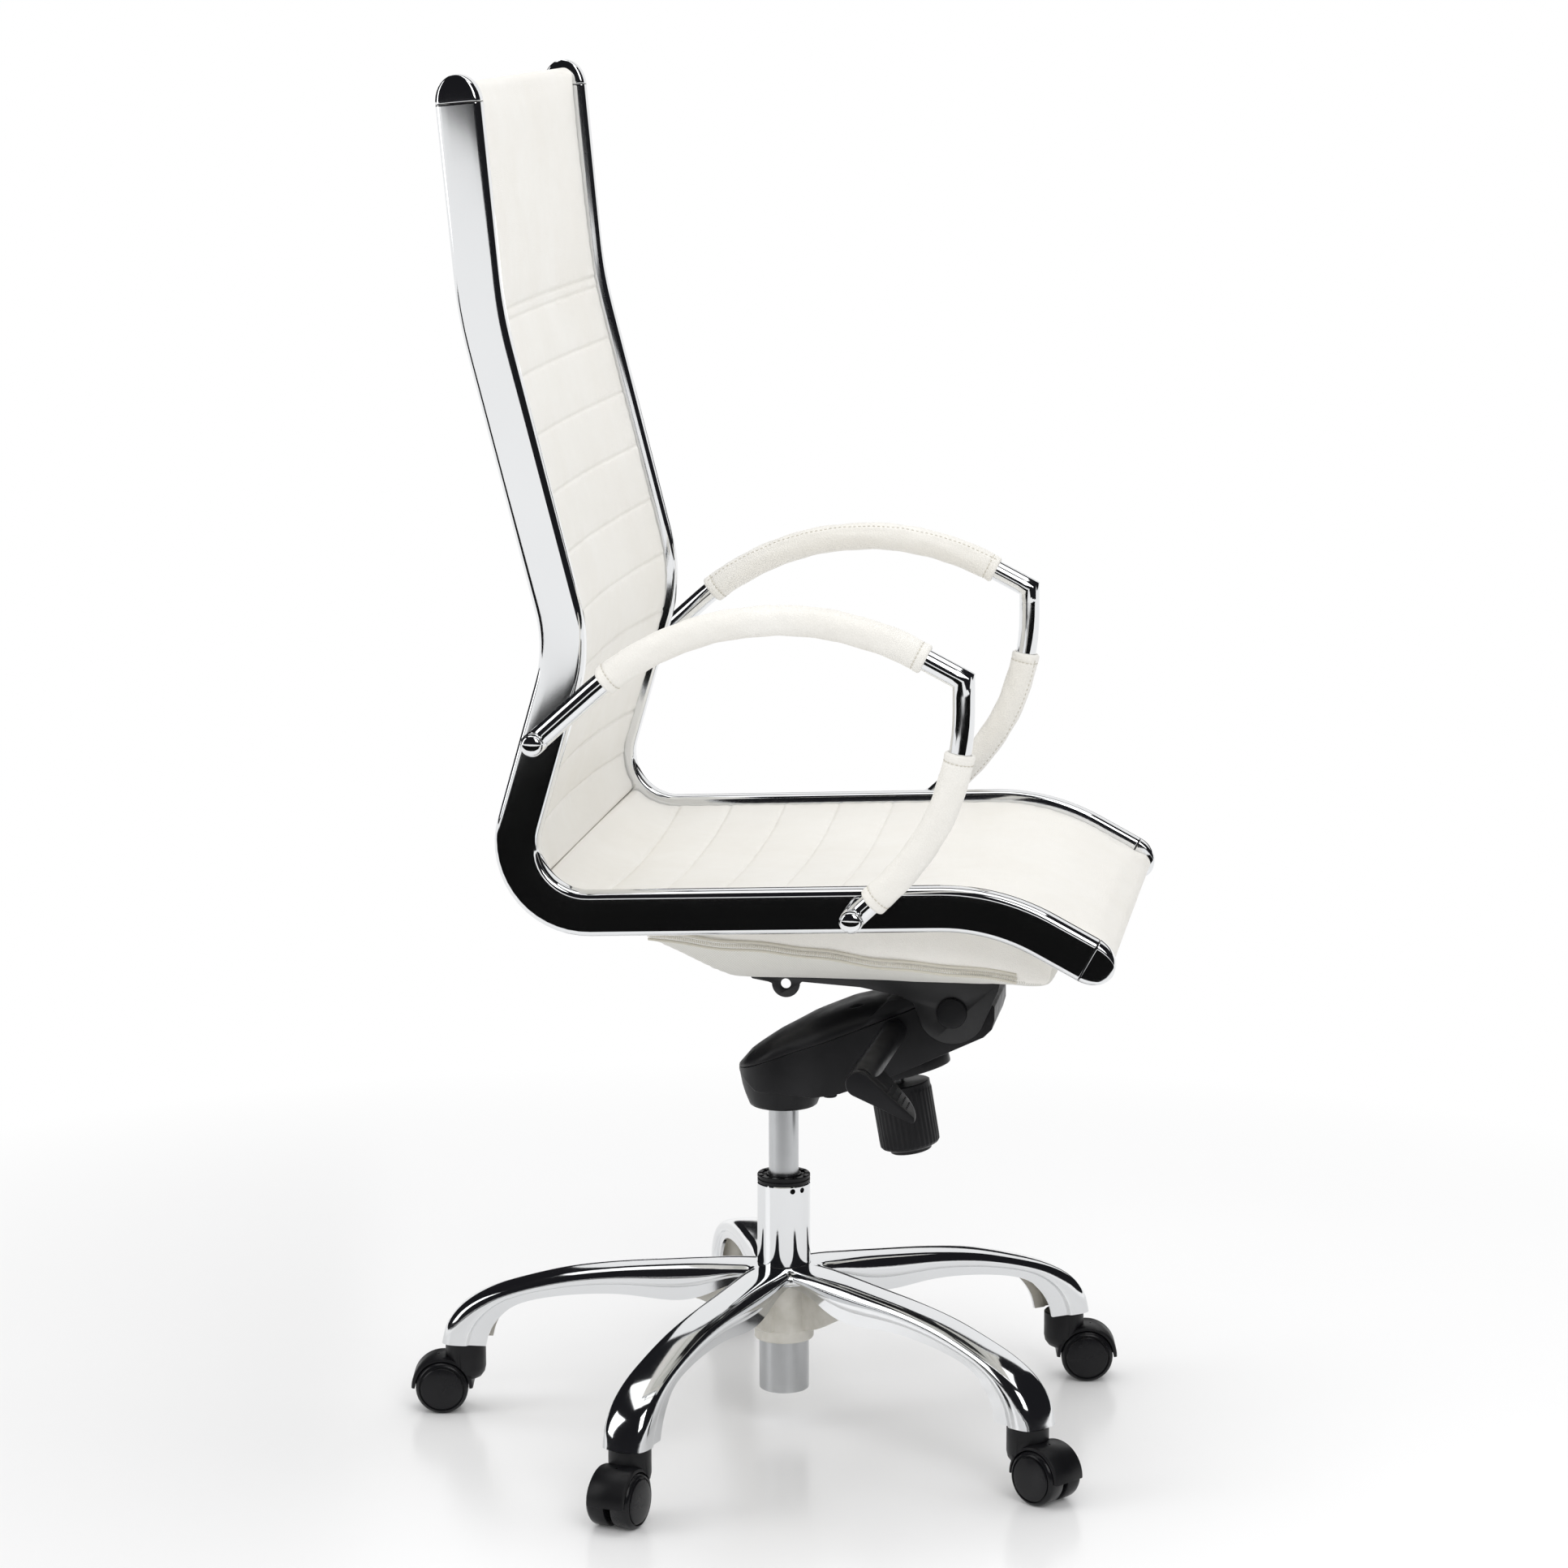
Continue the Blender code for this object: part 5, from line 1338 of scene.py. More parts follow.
def star_base():
    """Five arms on a hub that is bored for the column."""
    arm = base_arm()
    hub_line = [
        (0.0, HUB_LOW), (HUB_RADIUS - 0.0010, HUB_LOW), (HUB_RADIUS, HUB_LOW + 0.0012),
        (HUB_RADIUS, HUB_LOW + 0.0105), (HUB_RADIUS - 0.0012, HUB_LOW + 0.0120), (HUB_RADIUS - 0.0016, 0.120),
        (HUB_RADIUS - 0.0016, ARM_RIDGE - 0.0170), (0.0395, ARM_RIDGE - 0.0125), (0.0405, ARM_RIDGE - 0.0115),
        (0.0405, ARM_RIDGE - 0.0085), (0.0392, ARM_RIDGE - 0.0050),
        (0.0350, ARM_RIDGE - 0.0016), (0.0290, ARM_RIDGE - 0.0003), (0.0, ARM_RIDGE - 0.0003),
    ]
    star = two_finishes(turned("star", hub_line, 60))
    for face in star.data.polygons:
        if face.center.z < ARM_RIDGE - 0.0135:
            face.material_index = 1
    for angle in ARM_ANGLES:
        cut_with(star, copy_of(arm, "one_arm", Matrix.Rotation(radians(angle), 4, "Z")), "UNION")
    bpy.data.objects.remove(arm, do_unlink=True)
    bore = [
        (0, 0.07), (0.0238, 0.07), (0.0238, HUB_TOP), (0.0253, HUB_TOP), (0.0253, 0.18), (0, 0.18),
    ]
    cut_with(star, two_finishes(turned("bore", bore, 60), 1))
    star.name = "star_casting"
    soften(star, 0.0011, 2, 44)
    settle(star, at(AXIS_X, 0, 0))
    smooth(star, 38)
    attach(star, "base")
    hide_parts("base_star")


def base_tube():
    """The column's outer tube: polished above the hub, ground below, with two small slots at its top."""
    outer, inner = 0.0250, 0.0196
    profile = [
        (0.0062, 0.0348), (0.0222, 0.0348), (0.0233, 0.0356), (0.0235, 0.0368), (0.0235, HUB_TOP + 0.0003),
        (outer - 0.0004, HUB_TOP + 0.0003), (outer, HUB_TOP + 0.0009), (outer, COLUMN_TOP - 0.0008),
        (outer - 0.0006, COLUMN_TOP), (inner + 0.0004, COLUMN_TOP), (inner, COLUMN_TOP - 0.0005),
        (inner, 0.0390), (0.0062, 0.0390), (0.0062, 0.0348),
    ]
    tube = turned("base_tube", profile, 72)
    for turn in (-62, -38, 118):
        hole = turned("hole", [(0, 0.015), (0.0026, 0.015), (0.0026, 0.03), (0, 0.03)], 20)
        crosswise = at(0, 0, COLUMN_TOP - 0.0042) @ Matrix.Rotation(pi / 2, 4, "Y")
        settle(hole, Matrix.Rotation(radians(turn), 4, "Z") @ crosswise)
        cut_with(tube, hole)
    settle(tube, at(AXIS_X, 0, 0))
    smooth(tube, 30)
    tube.data.materials.clear()
    tube.data.materials.append(CHROME)
    tube.data.materials.append(STEEL)
    for face in tube.data.polygons:
        if face.center.z < HUB_TOP - 0.01:
            face.material_index = 1
    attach(tube, "base")
    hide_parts("column_tube")


def bush():
    """The plastic bush in the tube's mouth, with notches round its flange and its inner ring."""
    low = COLUMN_TOP - 0.036
    seat, top = COLUMN_TOP + 0.0003, BUSH_TOP
    profile = [
        (0.0144, low), (0.0191, low), (0.0191, seat), (0.0243, seat), (0.0248, seat + 0.0006),
        (0.0248, seat + 0.0030), (0.0236, seat + 0.0034), (0.0236, seat + 0.0044), (0.0249, seat + 0.0050),
        (0.0249, top - 0.0010), (0.0243, top - 0.0002), (0.0205, top - 0.0002), (0.0200, top - 0.0016),
        (0.0168, top - 0.0016), (0.0164, top), (0.0147, top), (0.0144, top - 0.0004), (0.0144, low),
    ]
    ring = turned("tube_collar", profile, 96)
    edit(ring, "DESELECT")
    bpy.ops.mesh.select_mode(type="FACE")
    bm = bmesh.from_edit_mesh(ring.data)
    for face in bm.faces:
        middle = face.calc_center_median()
        reach = hypot(middle.x, middle.y)
        turn = int(((atan2(middle.y, middle.x) + pi) / (2 * pi)) * 96) % 8
        face.select = turn < 3 and middle.z > top - 0.0019 and 0.0166 < reach < 0.0238
    bmesh.update_edit_mesh(ring.data)
    bpy.ops.mesh.extrude_region_move(TRANSFORM_OT_translate={"value": (0, 0, -0.0022)})
    bpy.ops.mesh.select_mode(type="VERT")
    put_down(ring)
    settle(ring, at(AXIS_X, 0, 0))
    smooth(ring, 30)
    dress(ring, PLASTIC, "base", ["tube_bush"])


def cylinder():
    """The gas spring's body below the mechanism."""
    low, high = COLLAR_Z - 0.211, COLLAR_Z + 0.048
    profile = [
        (0.0053, low), (0.0130, low), (0.0140, low + 0.0010), (0.0140, COLLAR_Z + 0.005), (0.0125, high),
        (0.0040, high), (0.0040, high - 0.0153), (0.0, high - 0.0153),
    ]
    made = turned("lift_cylinder", profile, 72)
    hollow = [(0, low - 0.01), (0.0053, low - 0.01), (0.0053, low + 0.010), (0.012, low + 0.010)]
    hollow += [(0.012, high - 0.0213), (0, high - 0.0213)]
    cut_with(made, turned("hollow", hollow, 72))
    settle(made, at(AXIS_X, 0, 0))
    smooth(made, 30)
    dress(made, STEEL, "mechanism", ["gas_cylinder"])


# ---------------------------------------------------------------- tilt mechanism, heights above the collar

HOUSING_REAR = 0.0415
HOUSING_HALF = 0.0520
PIVOT_X = 0.1645
PIVOT_UP = 0.1045
KNOB_X, KNOB_UP = 0.110, 0.024
KNOB_LEAN = radians(9.5)
LEVER_X, LEVER_UP = 0.112, 0.087
PLATE_UP = 0.1355
CHEEK_INNER, CHEEK_OUTER = 0.0525, 0.0555


def head_place(x=0.0, y=0.0, z=0.0):
    """A place measured from the column's axis and the collar."""
    return at(AXIS_X + x, y, COLLAR_Z + z)


def parting(x):
    """The height at which the housing's tray and cover part."""
    return 0.036 + (x + HOUSING_REAR) * 0.41


def plan(front):
    """The housing from above: half round about the column, then easing out to its full width."""
    right = []
    for degrees in range(180, 272, 6):
        a = radians(degrees)
        right.append((HOUSING_REAR * cos(a), HOUSING_REAR * sin(a)))
    for k in range(1, 17):
        x = 0.050 * k / 16
        right.append((x, -half_width(x)))
    right.append((front, -HOUSING_HALF))
    left = [(x, -y) for x, y in reversed(right[1:])]
    return right + left


def tray():
    """The mechanism's lower housing, with its collar round the column."""
    rear = HOUSING_REAR
    front, ridge = PIVOT_X + 0.039, PIVOT_X - 0.0465
    side = [(-rear, parting(-rear)), (-rear + 0.0004, 0.0335), (-rear + 0.020, 0.0190), (0.034, 0.018)]
    side += [(0.060, 0.0235), (LEVER_X, 0.043), (front - 0.010, 0.0815), (front - 0.0025, 0.089)]
    side += [(front, 0.098), (front, 0.110), (front - 0.004, 0.115), (front - 0.013, 0.117)]
    side += [(PIVOT_X - 0.014, 0.117), (ridge, parting(ridge))]
    made = slab_from("tray", side, -0.1, 0.1)
    cut_with(made, slab_from("plan", plan(front + 0.01), -0.01, 0.2, "XY"), "INTERSECT")
    soften(made, 0.0045, 4, 34)
    collar = [
        (0, 0), (0.0304, 0), (0.0318, 0.0010), (0.0328, 0.0034), (0.0362, 0.0120), (0.0386, 0.0200),
        (0.0404, 0.0290), (0.0414, 0.0352), (0.0, 0.0352),
    ]
    cut_with(made, turned("collar", collar, 72), "UNION")
    oval = [(0.055 * cos(2 * pi * k / 56), 0.036 * sin(2 * pi * k / 56)) for k in range(56)]
    plate = slab_from("plate", oval, 0, 0.014, "XY")
    soften(plate, 0.0016, 3, 50)
    settle(plate, at(KNOB_X - 0.006, 0, 0.0325) @ Matrix.Rotation(radians(-14), 4, "Y"))
    cut_with(made, plate, "UNION")
    foot = turned("foot", [(0, 0), (0.0060, 0), (0.0070, 0.0010), (0.0074, 0.02), (0, 0.02)], 32)
    settle(foot, at(0.0475, -0.028, 0.0150))
    cut_with(made, foot, "UNION")
    wall = 0.004
    floor = [(0.026, 0.024), (0.062, 0.0300), (LEVER_X, 0.043 + 1.4 * wall), (front - 0.012, 0.090)]
    floor += [(front - wall - 0.001, 0.100), (front - wall - 0.001, 0.2), (0.026, 0.2)]
    cut_with(made, slab_from("pocket", floor, -0.0415, 0.0415))
    bore = turned("bore", [(0, -0.01), (0.0143, -0.01), (0.0143, 0.1), (0, 0.1)], 48)
    cut_with(made, bore)
    room = settle(turned("room", [(0, -0.012), (0.0043, -0.012), (0.0043, 0.05), (0, 0.05)], 24), knob_turn())
    cut_with(made, room)
    holes = ((PIVOT_X, PIVOT_UP, 0.0063, -0.1, 0.1), (LEVER_X, LEVER_UP, 0.0078, -0.1, -0.02))
    for x, z, radius, low, high in holes:
        hole = [(0, low), (radius, low), (radius, high), (0, high)]
        cut_with(made, turned_at(lying(x, 0, z), "hole", hole, 40))
    made.name = "housing_tray"
    settle(made, head_place())
    smooth(made, 32)
    dress(made, PLASTIC, "mechanism", ["mechanism_tray"])


def knob_turn():
    """From a shape about +Z to the knob's leaning axis, with its height 0 at the knob's top."""
    return at(KNOB_X, 0, KNOB_UP) @ Matrix.Rotation(-KNOB_LEAN, 4, "Y")


def crest(x):
    """The height of the cover's top."""
    rows = [(-0.0415, 0.038), (-0.030, 0.0515), (-0.005, 0.069), (0.029, 0.088)]
    rows += [(0.066, 0.1035), (0.105, 0.1125)]
    for (x0, z0), (x1, z1) in zip(rows, rows[1:]):
        if x <= x1:
            t = (x - x0) / (x1 - x0)
            return z0 + (z1 - z0) * t
    return rows[-1][1]


def half_width(x, inset=0.0):
    """Half the housing's width, round at its rear."""
    rear = HOUSING_REAR - inset
    if x < 0.002:
        return max(0.0012, sqrt(max(0.0, rear**2 - x**2)))
    t = min(1.0, (x - 0.002) / 0.048)
    return rear + (HOUSING_HALF - HOUSING_REAR) * t * t * (3 - 2 * t)


def bonnet_ring(x, inset):
    """The cover's arched section, set in by its wall."""
    low = parting(x) + 0.0004 - (0.012 if inset else 0.0)
    high = crest(x) - inset
    half = half_width(x, inset)
    ring = []
    for k in range(25):
        a = pi * k / 24
        u = abs(cos(a)) ** 0.80 * (1 if cos(a) >= 0 else -1)
        v = abs(sin(a)) ** 0.86
        ring.append(Vector((x, u * half, low + max(0.0004, high - low) * v)))
    return ring


def bonnet():
    """The smooth cover over the rear of the housing, with its slanting front edge and two slots."""
    rear = HOUSING_REAR
    stations = [-rear * cos(radians(a)) for a in (1.5, 8, 16, 24, 33, 42, 52, 62, 73, 85)]
    stations += [0.010 + 0.006 * k for k in range(17)]
    made = drawn_through("bonnet", [bonnet_ring(x, 0) for x in stations], True)
    inner = [x for x in stations if x > -rear + 0.0055]
    room = drawn_through("room", [bonnet_ring(x, 0.0032) for x in inner] + [bonnet_ring(0.2, 0.0032)], True)
    cut_with(made, room)
    slope = [(0.1065, 0.128), (0.1030, 0.1090), (0.0905, 0.0965), (0.0740, 0.0800), (0.066, 0.070)]
    front = even_curve(slope, 5)
    outline = list(front) + [(0.066, 0.02), (0.2, 0.02), (0.2, 0.128)]
    cut_with(made, slab_from("front", outline, -0.1, 0.1))
    shoulder = [(0.0670, parting(0.0670) + 0.0005), (0.1180, parting(0.1180) + 0.0006), (0.1495, 0.1176)]
    shoulder += [(0.1480, 0.1186), (0.1250, 0.1165), (0.1055, 0.1130), (0.0900, 0.0985), (0.0740, 0.0850)]
    cut_with(made, slab_from("shoulder", shoulder, -0.0508, 0.0508), "UNION")
    for x, y, long, wide in ((0.0775, -0.030, 0.0062, 0.0026), (-0.0235, -0.022, 0.0048, 0.0012)):
        shape = [(long * cos(2 * pi * k / 28), wide * sin(2 * pi * k / 28)) for k in range(28)]
        slot = slab_from("slot", shape, -0.02, 0.03, "XY")
        settle(slot, at(x, y, crest(x) - 0.014) @ Matrix.Rotation(radians(22), 4, "Y").inverted())
        cut_with(made, slot)
    soften(made, 0.0005, 2, 45)
    made.name = "housing_bonnet"
    settle(made, head_place())
    smooth(made, 40)
    dress(made, PLASTIC, "mechanism", ["mechanism_cover"])


def pivot():
    """The shaft that the seat tilts on, with a cover on each end."""
    reach = CHEEK_OUTER
    line = [(0, -reach), (0.0054, -reach), (0.0060, -reach + 0.0006)]
    line += [(0.0060, reach - 0.0006), (0.0054, reach), (0, reach)]
    made = turned_at(lying(AXIS_X + PIVOT_X, 0, COLLAR_Z + PIVOT_UP), "tilt_shaft", line, 40)
    smooth(made, 30)
    dress(made, STEEL, "mechanism", ["pivot_shaft"])
    for side, label in SIDES:
        low = CHEEK_OUTER + 0.0003
        dome = [(0, low), (0.0132, low), (0.0140, low + 0.0006), (0.0140, low + 0.0022)]
        dome += [(0.0134, low + 0.0032)]
        dome += [(0.0120, low + 0.0037), (0.0060, low + 0.0041), (0.0, low + 0.0042)]
        cap = turned_at(lying(AXIS_X + PIVOT_X, 0, COLLAR_Z + PIVOT_UP), f"shaft_cover_{label}", dome, 48)
        if side < 0:
            settle(cap, MIRROR)
        smooth(cap, 35)
        dress(cap, PLASTIC, "seat", [f"pivot_cap_{label}"])


def seat_channel():
    """The pressed steel channel that carries the seat, with an ear behind and a cheek round the pivot."""
    top, ear_z, ear_x, ear = PLATE_UP, PLATE_UP - 0.008, 0.0105, 0.013
    line = [(-0.022, top), (-0.022, top - 0.0030), (-0.0205, top - 0.0042)]
    line += [(ear_x - ear - 0.003, ear_z + 0.0012)]
    for k in range(0, 25):
        a = pi + pi * k / 24
        line.append((ear_x + ear * cos(a), ear_z + ear * sin(a)))
    line += [(ear_x + ear + 0.002, ear_z + 0.0020), (0.080, ear_z - 0.0015)]
    line += [(PIVOT_X - 0.0585, PIVOT_UP + 0.0165)]
    line += [(PIVOT_X - 0.0475, PIVOT_UP + 0.0145), (PIVOT_X - 0.0355, PIVOT_UP + 0.0080)]
    for k in range(23):
        a = radians(190 + 6.4 * k)
        line.append((PIVOT_X + 0.031 * cos(a), PIVOT_UP + 0.029 * sin(a)))
    line += [(0.2075, top - 0.0090), (0.2088, top - 0.0020), (0.2088, top)]
    made = slab_from("channel", line, -CHEEK_OUTER, CHEEK_OUTER)
    under = top - 0.003
    below = [(-0.1, -0.1), (0.4, -0.1), (0.4, under), (-0.1, under)]
    room = slab_from("room", below, -CHEEK_INNER, CHEEK_INNER)
    cut_with(made, room)
    for x, z, radius in ((PIVOT_X, PIVOT_UP, 0.0063), (ear_x, ear_z, 0.0047)):
        hole = turned_at(lying(x, 0, z), "hole", [(0, -0.1), (radius, -0.1), (radius, 0.1), (0, 0.1)], 40)
        cut_with(made, hole)
    soften(made, 0.0007, 2, 40)
    made.name = "seat_channel"
    settle(made, head_place())
    smooth(made, 35)
    dress(made, COAT, "seat", ["seat_plate"])


def knob():
    """The tension knob: fine ribs all round, a chamfered foot and a small end cap."""
    rim, long = 0.0285, 0.060
    line = [
        (0, -0.0455), (0.0043, -0.0455), (0.0043, -0.0004), (0.0050, 0.0), (0.0262, 0.0), (0.0276, -0.0008),
        (0.0278, -0.0060), (0.0284, -0.0072), (0.0282, -long + 0.006), (0.0280, -long + 0.0022),
        (0.0262, -long), (0.0200, -long - 0.0028), (0.0196, -long - 0.0032), (0.0192, -long - 0.0050),
        (0.0180, -long - 0.0058), (0.0, -long - 0.0060),
    ]
    made = turned("grip_knob", line, 144)
    edit(made, "DESELECT")
    bm = bmesh.from_edit_mesh(made.data)
    for vert in bm.verts:
        reach = hypot(vert.co.x, vert.co.y)
        if reach > 0.0279 and -long + 0.001 < vert.co.z < -0.0065:
            turn = round((atan2(vert.co.y, vert.co.x) + pi) / (2 * pi) * 144) % 4
            if turn < 2:
                vert.co.x *= 1 - 0.0006 / rim
                vert.co.y *= 1 - 0.0006 / rim
    bmesh.update_edit_mesh(made.data)
    bpy.ops.object.mode_set(mode="OBJECT")
    settle(made, head_place() @ knob_turn())
    smooth(made, 24)
    dress(made, PLASTIC, "knob", ["tension_knob"])


PADDLE_TIP = Vector((0.048, -0.031))
LEVER_END = Vector((0.096, -0.192, 0.068))
LEVER_ROOT_Y = -0.0580


def tear_ring(y, tip, swell=1.0):
    """The paddle's end seen along Y: round at the arm and drawn out to a soft tip."""
    reach = PADDLE_TIP * tip
    heading = atan2(PADDLE_TIP.y, PADDLE_TIP.x)
    big, small = 0.0119 * swell, 0.0030 * swell
    lean = acos(min(0.99, (big - small) / max(0.02, reach.length)))
    ring = []
    for k in range(17):
        a = heading + lean + (2 * pi - 2 * lean) * k / 16
        ring.append(Vector((LEVER_END.x + big * cos(a), y, LEVER_END.z + big * sin(a))))
    for k in range(9):
        a = heading - lean + 2 * lean * k / 8
        x = LEVER_END.x + reach.x + small * cos(a)
        ring.append(Vector((x, y, LEVER_END.z + reach.y + small * sin(a))))
    return ring


def lever():
    """The thick arm out and down to its end, and the wing that the hand lifts."""
    rings = []
    for share, size in ((0.0, 0.90), (0.015, 0.98), (0.06, 1.0), (0.5, 1.0), (0.86, 0.99), (0.93, 0.94)):
        x = LEVER_END.x * share + LEVER_X * (1 - share)
        y = LEVER_END.y * share + LEVER_ROOT_Y * (1 - share)
        z = LEVER_END.z * share + LEVER_UP * (1 - share)
        radius = 0.0117 * size
        turns = [2 * pi * k / 40 for k in range(40)]
        rings.append([Vector((x + radius * cos(a), y, z + radius * sin(a))) for a in turns])
    arm = drawn_through("arm", rings, True)
    rings = []
    for share, swell in ((0.0, 0.90), (0.010, 0.97), (0.03, 1.0)):
        rings.append(tear_ring(LEVER_END.y + 0.070 * share, 1.0, swell))
    for k in range(1, 15):
        share = 0.03 + 0.95 * k / 14
        tip = max(0.34, sqrt(max(0.0, 1 - share**2.2)))
        rings.append(tear_ring(LEVER_END.y + 0.070 * share, tip, 1.0 - 0.05 * share))
    wing = drawn_through("wing", rings, True)
    cut_with(arm, wing, "UNION")
    low, high = LEVER_ROOT_Y - 0.018, LEVER_ROOT_Y + 0.01
    bore = [(0, low), (0.0043, low), (0.0043, high), (0, high)]
    cut_with(arm, turned_at(lying(LEVER_X, 0, LEVER_UP), "bore", bore, 32))
    soften(arm, 0.0008, 2, 40)
    arm.name = "lift_lever"
    settle(arm, head_place())
    smooth(arm, 38)
    dress(arm, PLASTIC, "lever", ["lever_handle"])
    dots()


def dots():
    """Rows of small raised grips on the wing's upper face."""
    heading = PADDLE_TIP.normalized()
    up = Vector((-heading.y, heading.x))
    places = []
    for row in range(5):
        for column in range(6):
            along = 0.026 + 0.0055 * row
            y = LEVER_END.y + 0.006 + 0.0062 * column
            share = (y - LEVER_END.y) / 0.070
            reach = PADDLE_TIP.length * sqrt(max(0.0, 1 - share**2.2))
            if along > reach - 0.004:
                continue
            high = 0.0119 + (0.0030 - 0.0119) * along / max(0.02, reach)
            flat = heading * along + up * (high + 0.0002)
            origin = Vector((LEVER_END.x + flat.x, y, LEVER_END.z + flat.y))
            ahead = Vector((heading.x, 0, heading.y))
            places.append(basis(ahead, Vector((up.x, 0, up.y)), origin))
    dome = [(0, -0.0006), (0.0011, -0.0004), (0.0009, 0.0002), (0.0005, 0.0004), (0.0, 0.00045)]
    pip = turned("pip", dome, 10)
    made = laid([head_place() @ place for place in places], pip, "lever_grips")
    dress(made, PLASTIC, "lever", ())


def under_pocket():
    """The zipped lining pocket under the seat, a little slack, lying flat on the seat channel."""
    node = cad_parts["under_cover"]
    take(node)
    bpy.ops.object.duplicate(linked=False)
    made = bpy.context.object
    made.name = "lining_pocket"
    for key in list(made.keys()):
        del made[key]
    made.parent = None
    edit(made)
    bpy.ops.mesh.remove_doubles(threshold=0.00001)
    bpy.ops.object.mode_set(mode="OBJECT")
    apply_modifier(made, "REMESH", mode="VOXEL", voxel_size=0.0055)
    low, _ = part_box("under_cover")
    held = made.vertex_groups.new(name="held")
    for vert in made.data.vertices:
        on_plate = vert.co.z < low.z + 0.003 and abs(vert.co.y) < 0.07
        if on_plate or vert.co.z > low.z + 0.060:
            held.add([vert.index], 1.0, "REPLACE")
    blown_up(made, held, 1.6, 0.0045, 14)
    made.vertex_groups.clear()
    apply_modifier(made, "SMOOTH", factor=0.5, iterations=3)
    for vert in made.data.vertices:
        x, y, _ = vert.co - Vector((AXIS_X, 0, 0))
        free = min(1.0, max(0.0, (abs(y) - 0.05) / 0.05))
        vert.co.z += 0.0012 * free * wrinkle(x * 34 + y * 12, y * 45, x * 21)
        rise = max(0.0, abs(y) - 0.070) / 0.130 * (0.1880 - 0.092 * x + COLLAR_Z - low.z)
        behind = min(0.0680, max(0.0, -0.0365 - x))
        vert.co.z = max(vert.co.z, low.z + 0.0001, low.z + rise - 0.0008, low.z + behind)
    apply_modifier(made, "SUBSURF", levels=1, render_levels=1)
    smooth(made, 70)
    dress(made, LINING, "seat", ["under_cover"])
    made.data.materials.append(LEATHER)
    for face in made.data.polygons:
        x = face.center.x - AXIS_X
        if abs(face.normal.y) > 0.6 and face.center.z > COLLAR_Z + zip_height(x) + 0.003:
            face.material_index = 1
    zips()
    return made


def zip_height(x):
    """Where the zip runs along the pocket's side."""
    return 0.1880 - 0.092 * x + 0.0011 * sin(38 * x) + 0.0007 * sin(91 * x + 1.0)


def zips():
    """Two piped edges along each side of the pocket, with the zip's teeth between them."""
    stations = spaced(-0.092, 0.238, 0.006)
    corners = [(-0.0006, -0.0014), (0.0006, -0.0014), (0.0006, 0.0014), (-0.0006, 0.0014)]
    tooth = slab_from("tooth", corners, -0.0005, 0.0005)
    soften(tooth, 0.0002, 1, 40)
    for side, label in SIDES:
        pieces = []
        for lift in (0.0012, 0.0086):
            rings = []
            for x in stations:
                middle = Vector((AXIS_X + x, side * 0.2002, COLLAR_Z + zip_height(x) + lift))
                spots = [2 * pi * k / 10 for k in range(10)]
                rings.append([middle + Vector((0, 0.0010 * cos(a), 0.0013 * sin(a))) for a in spots])
            pieces.append(drawn_through("piping", rings, True))
        places = []
        for x in spaced(-0.092, 0.238, 0.0019):
            places.append(at(AXIS_X + x, side * 0.2004, COLLAR_Z + zip_height(x) + 0.0049))
        pieces.append(laid(places, copy_of(tooth, "one_tooth", Matrix()), "teeth"))
        made = joined(f"pocket_zip_{label}", pieces)
        smooth(made, 50)
        dress(made, THREAD, "seat", ())
    bpy.data.objects.remove(tooth, do_unlink=True)


def inner_metal():
    """The pieces that stay as they are made, in their finishes."""
    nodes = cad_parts
    finishes = {
        "thrust_bearing": BRONZE, "piston_rod": STEEL, "tilt_spring": STEEL, "tension_bolt": STEEL,
        "lever_rod": STEEL, "release_pin": STEEL, "lever_bush": PLASTIC,
    }
    for number in range(1, 6):
        finishes[f"caster_stem_{number}"] = STEEL
    for name, material in finishes.items():
        nodes[name].data.materials.clear()
        nodes[name].data.materials.append(material)


# ---------------------------------------------------------------- studio


def card(name, size, place, towards, material):
    """A flat card that stands in the studio and faces a point."""
    clear_hands()
    bpy.ops.mesh.primitive_plane_add(size=1, location=(0, 0, 0))
    made = bpy.context.object
    made.name = name
    made.scale = (size[0], size[1], 1)
    made.location = place
    made.rotation_mode = "QUATERNION"
    made.rotation_quaternion = (Vector(towards) - Vector(place)).to_track_quat("Z", "Y")
    made.data.materials.append(material)
    made.visible_camera = False
    made.visible_shadow = False
    made.visible_diffuse = False
    return made


def soft_box(name, power, size, place, towards):
    """A soft rectangular lamp, turned towards a point."""
    light = bpy.data.lights.new(name, "AREA")
    light.shape = "RECTANGLE"
    light.size, light.size_y = size
    light.energy = power
    obj = bpy.data.objects.new(name, light)
    bpy.context.scene.collection.objects.link(obj)
    obj.location = place
    obj.rotation_mode = "QUATERNION"
    obj.rotation_quaternion = (Vector(towards) - Vector(place)).to_track_quat("-Z", "Y")
    return obj


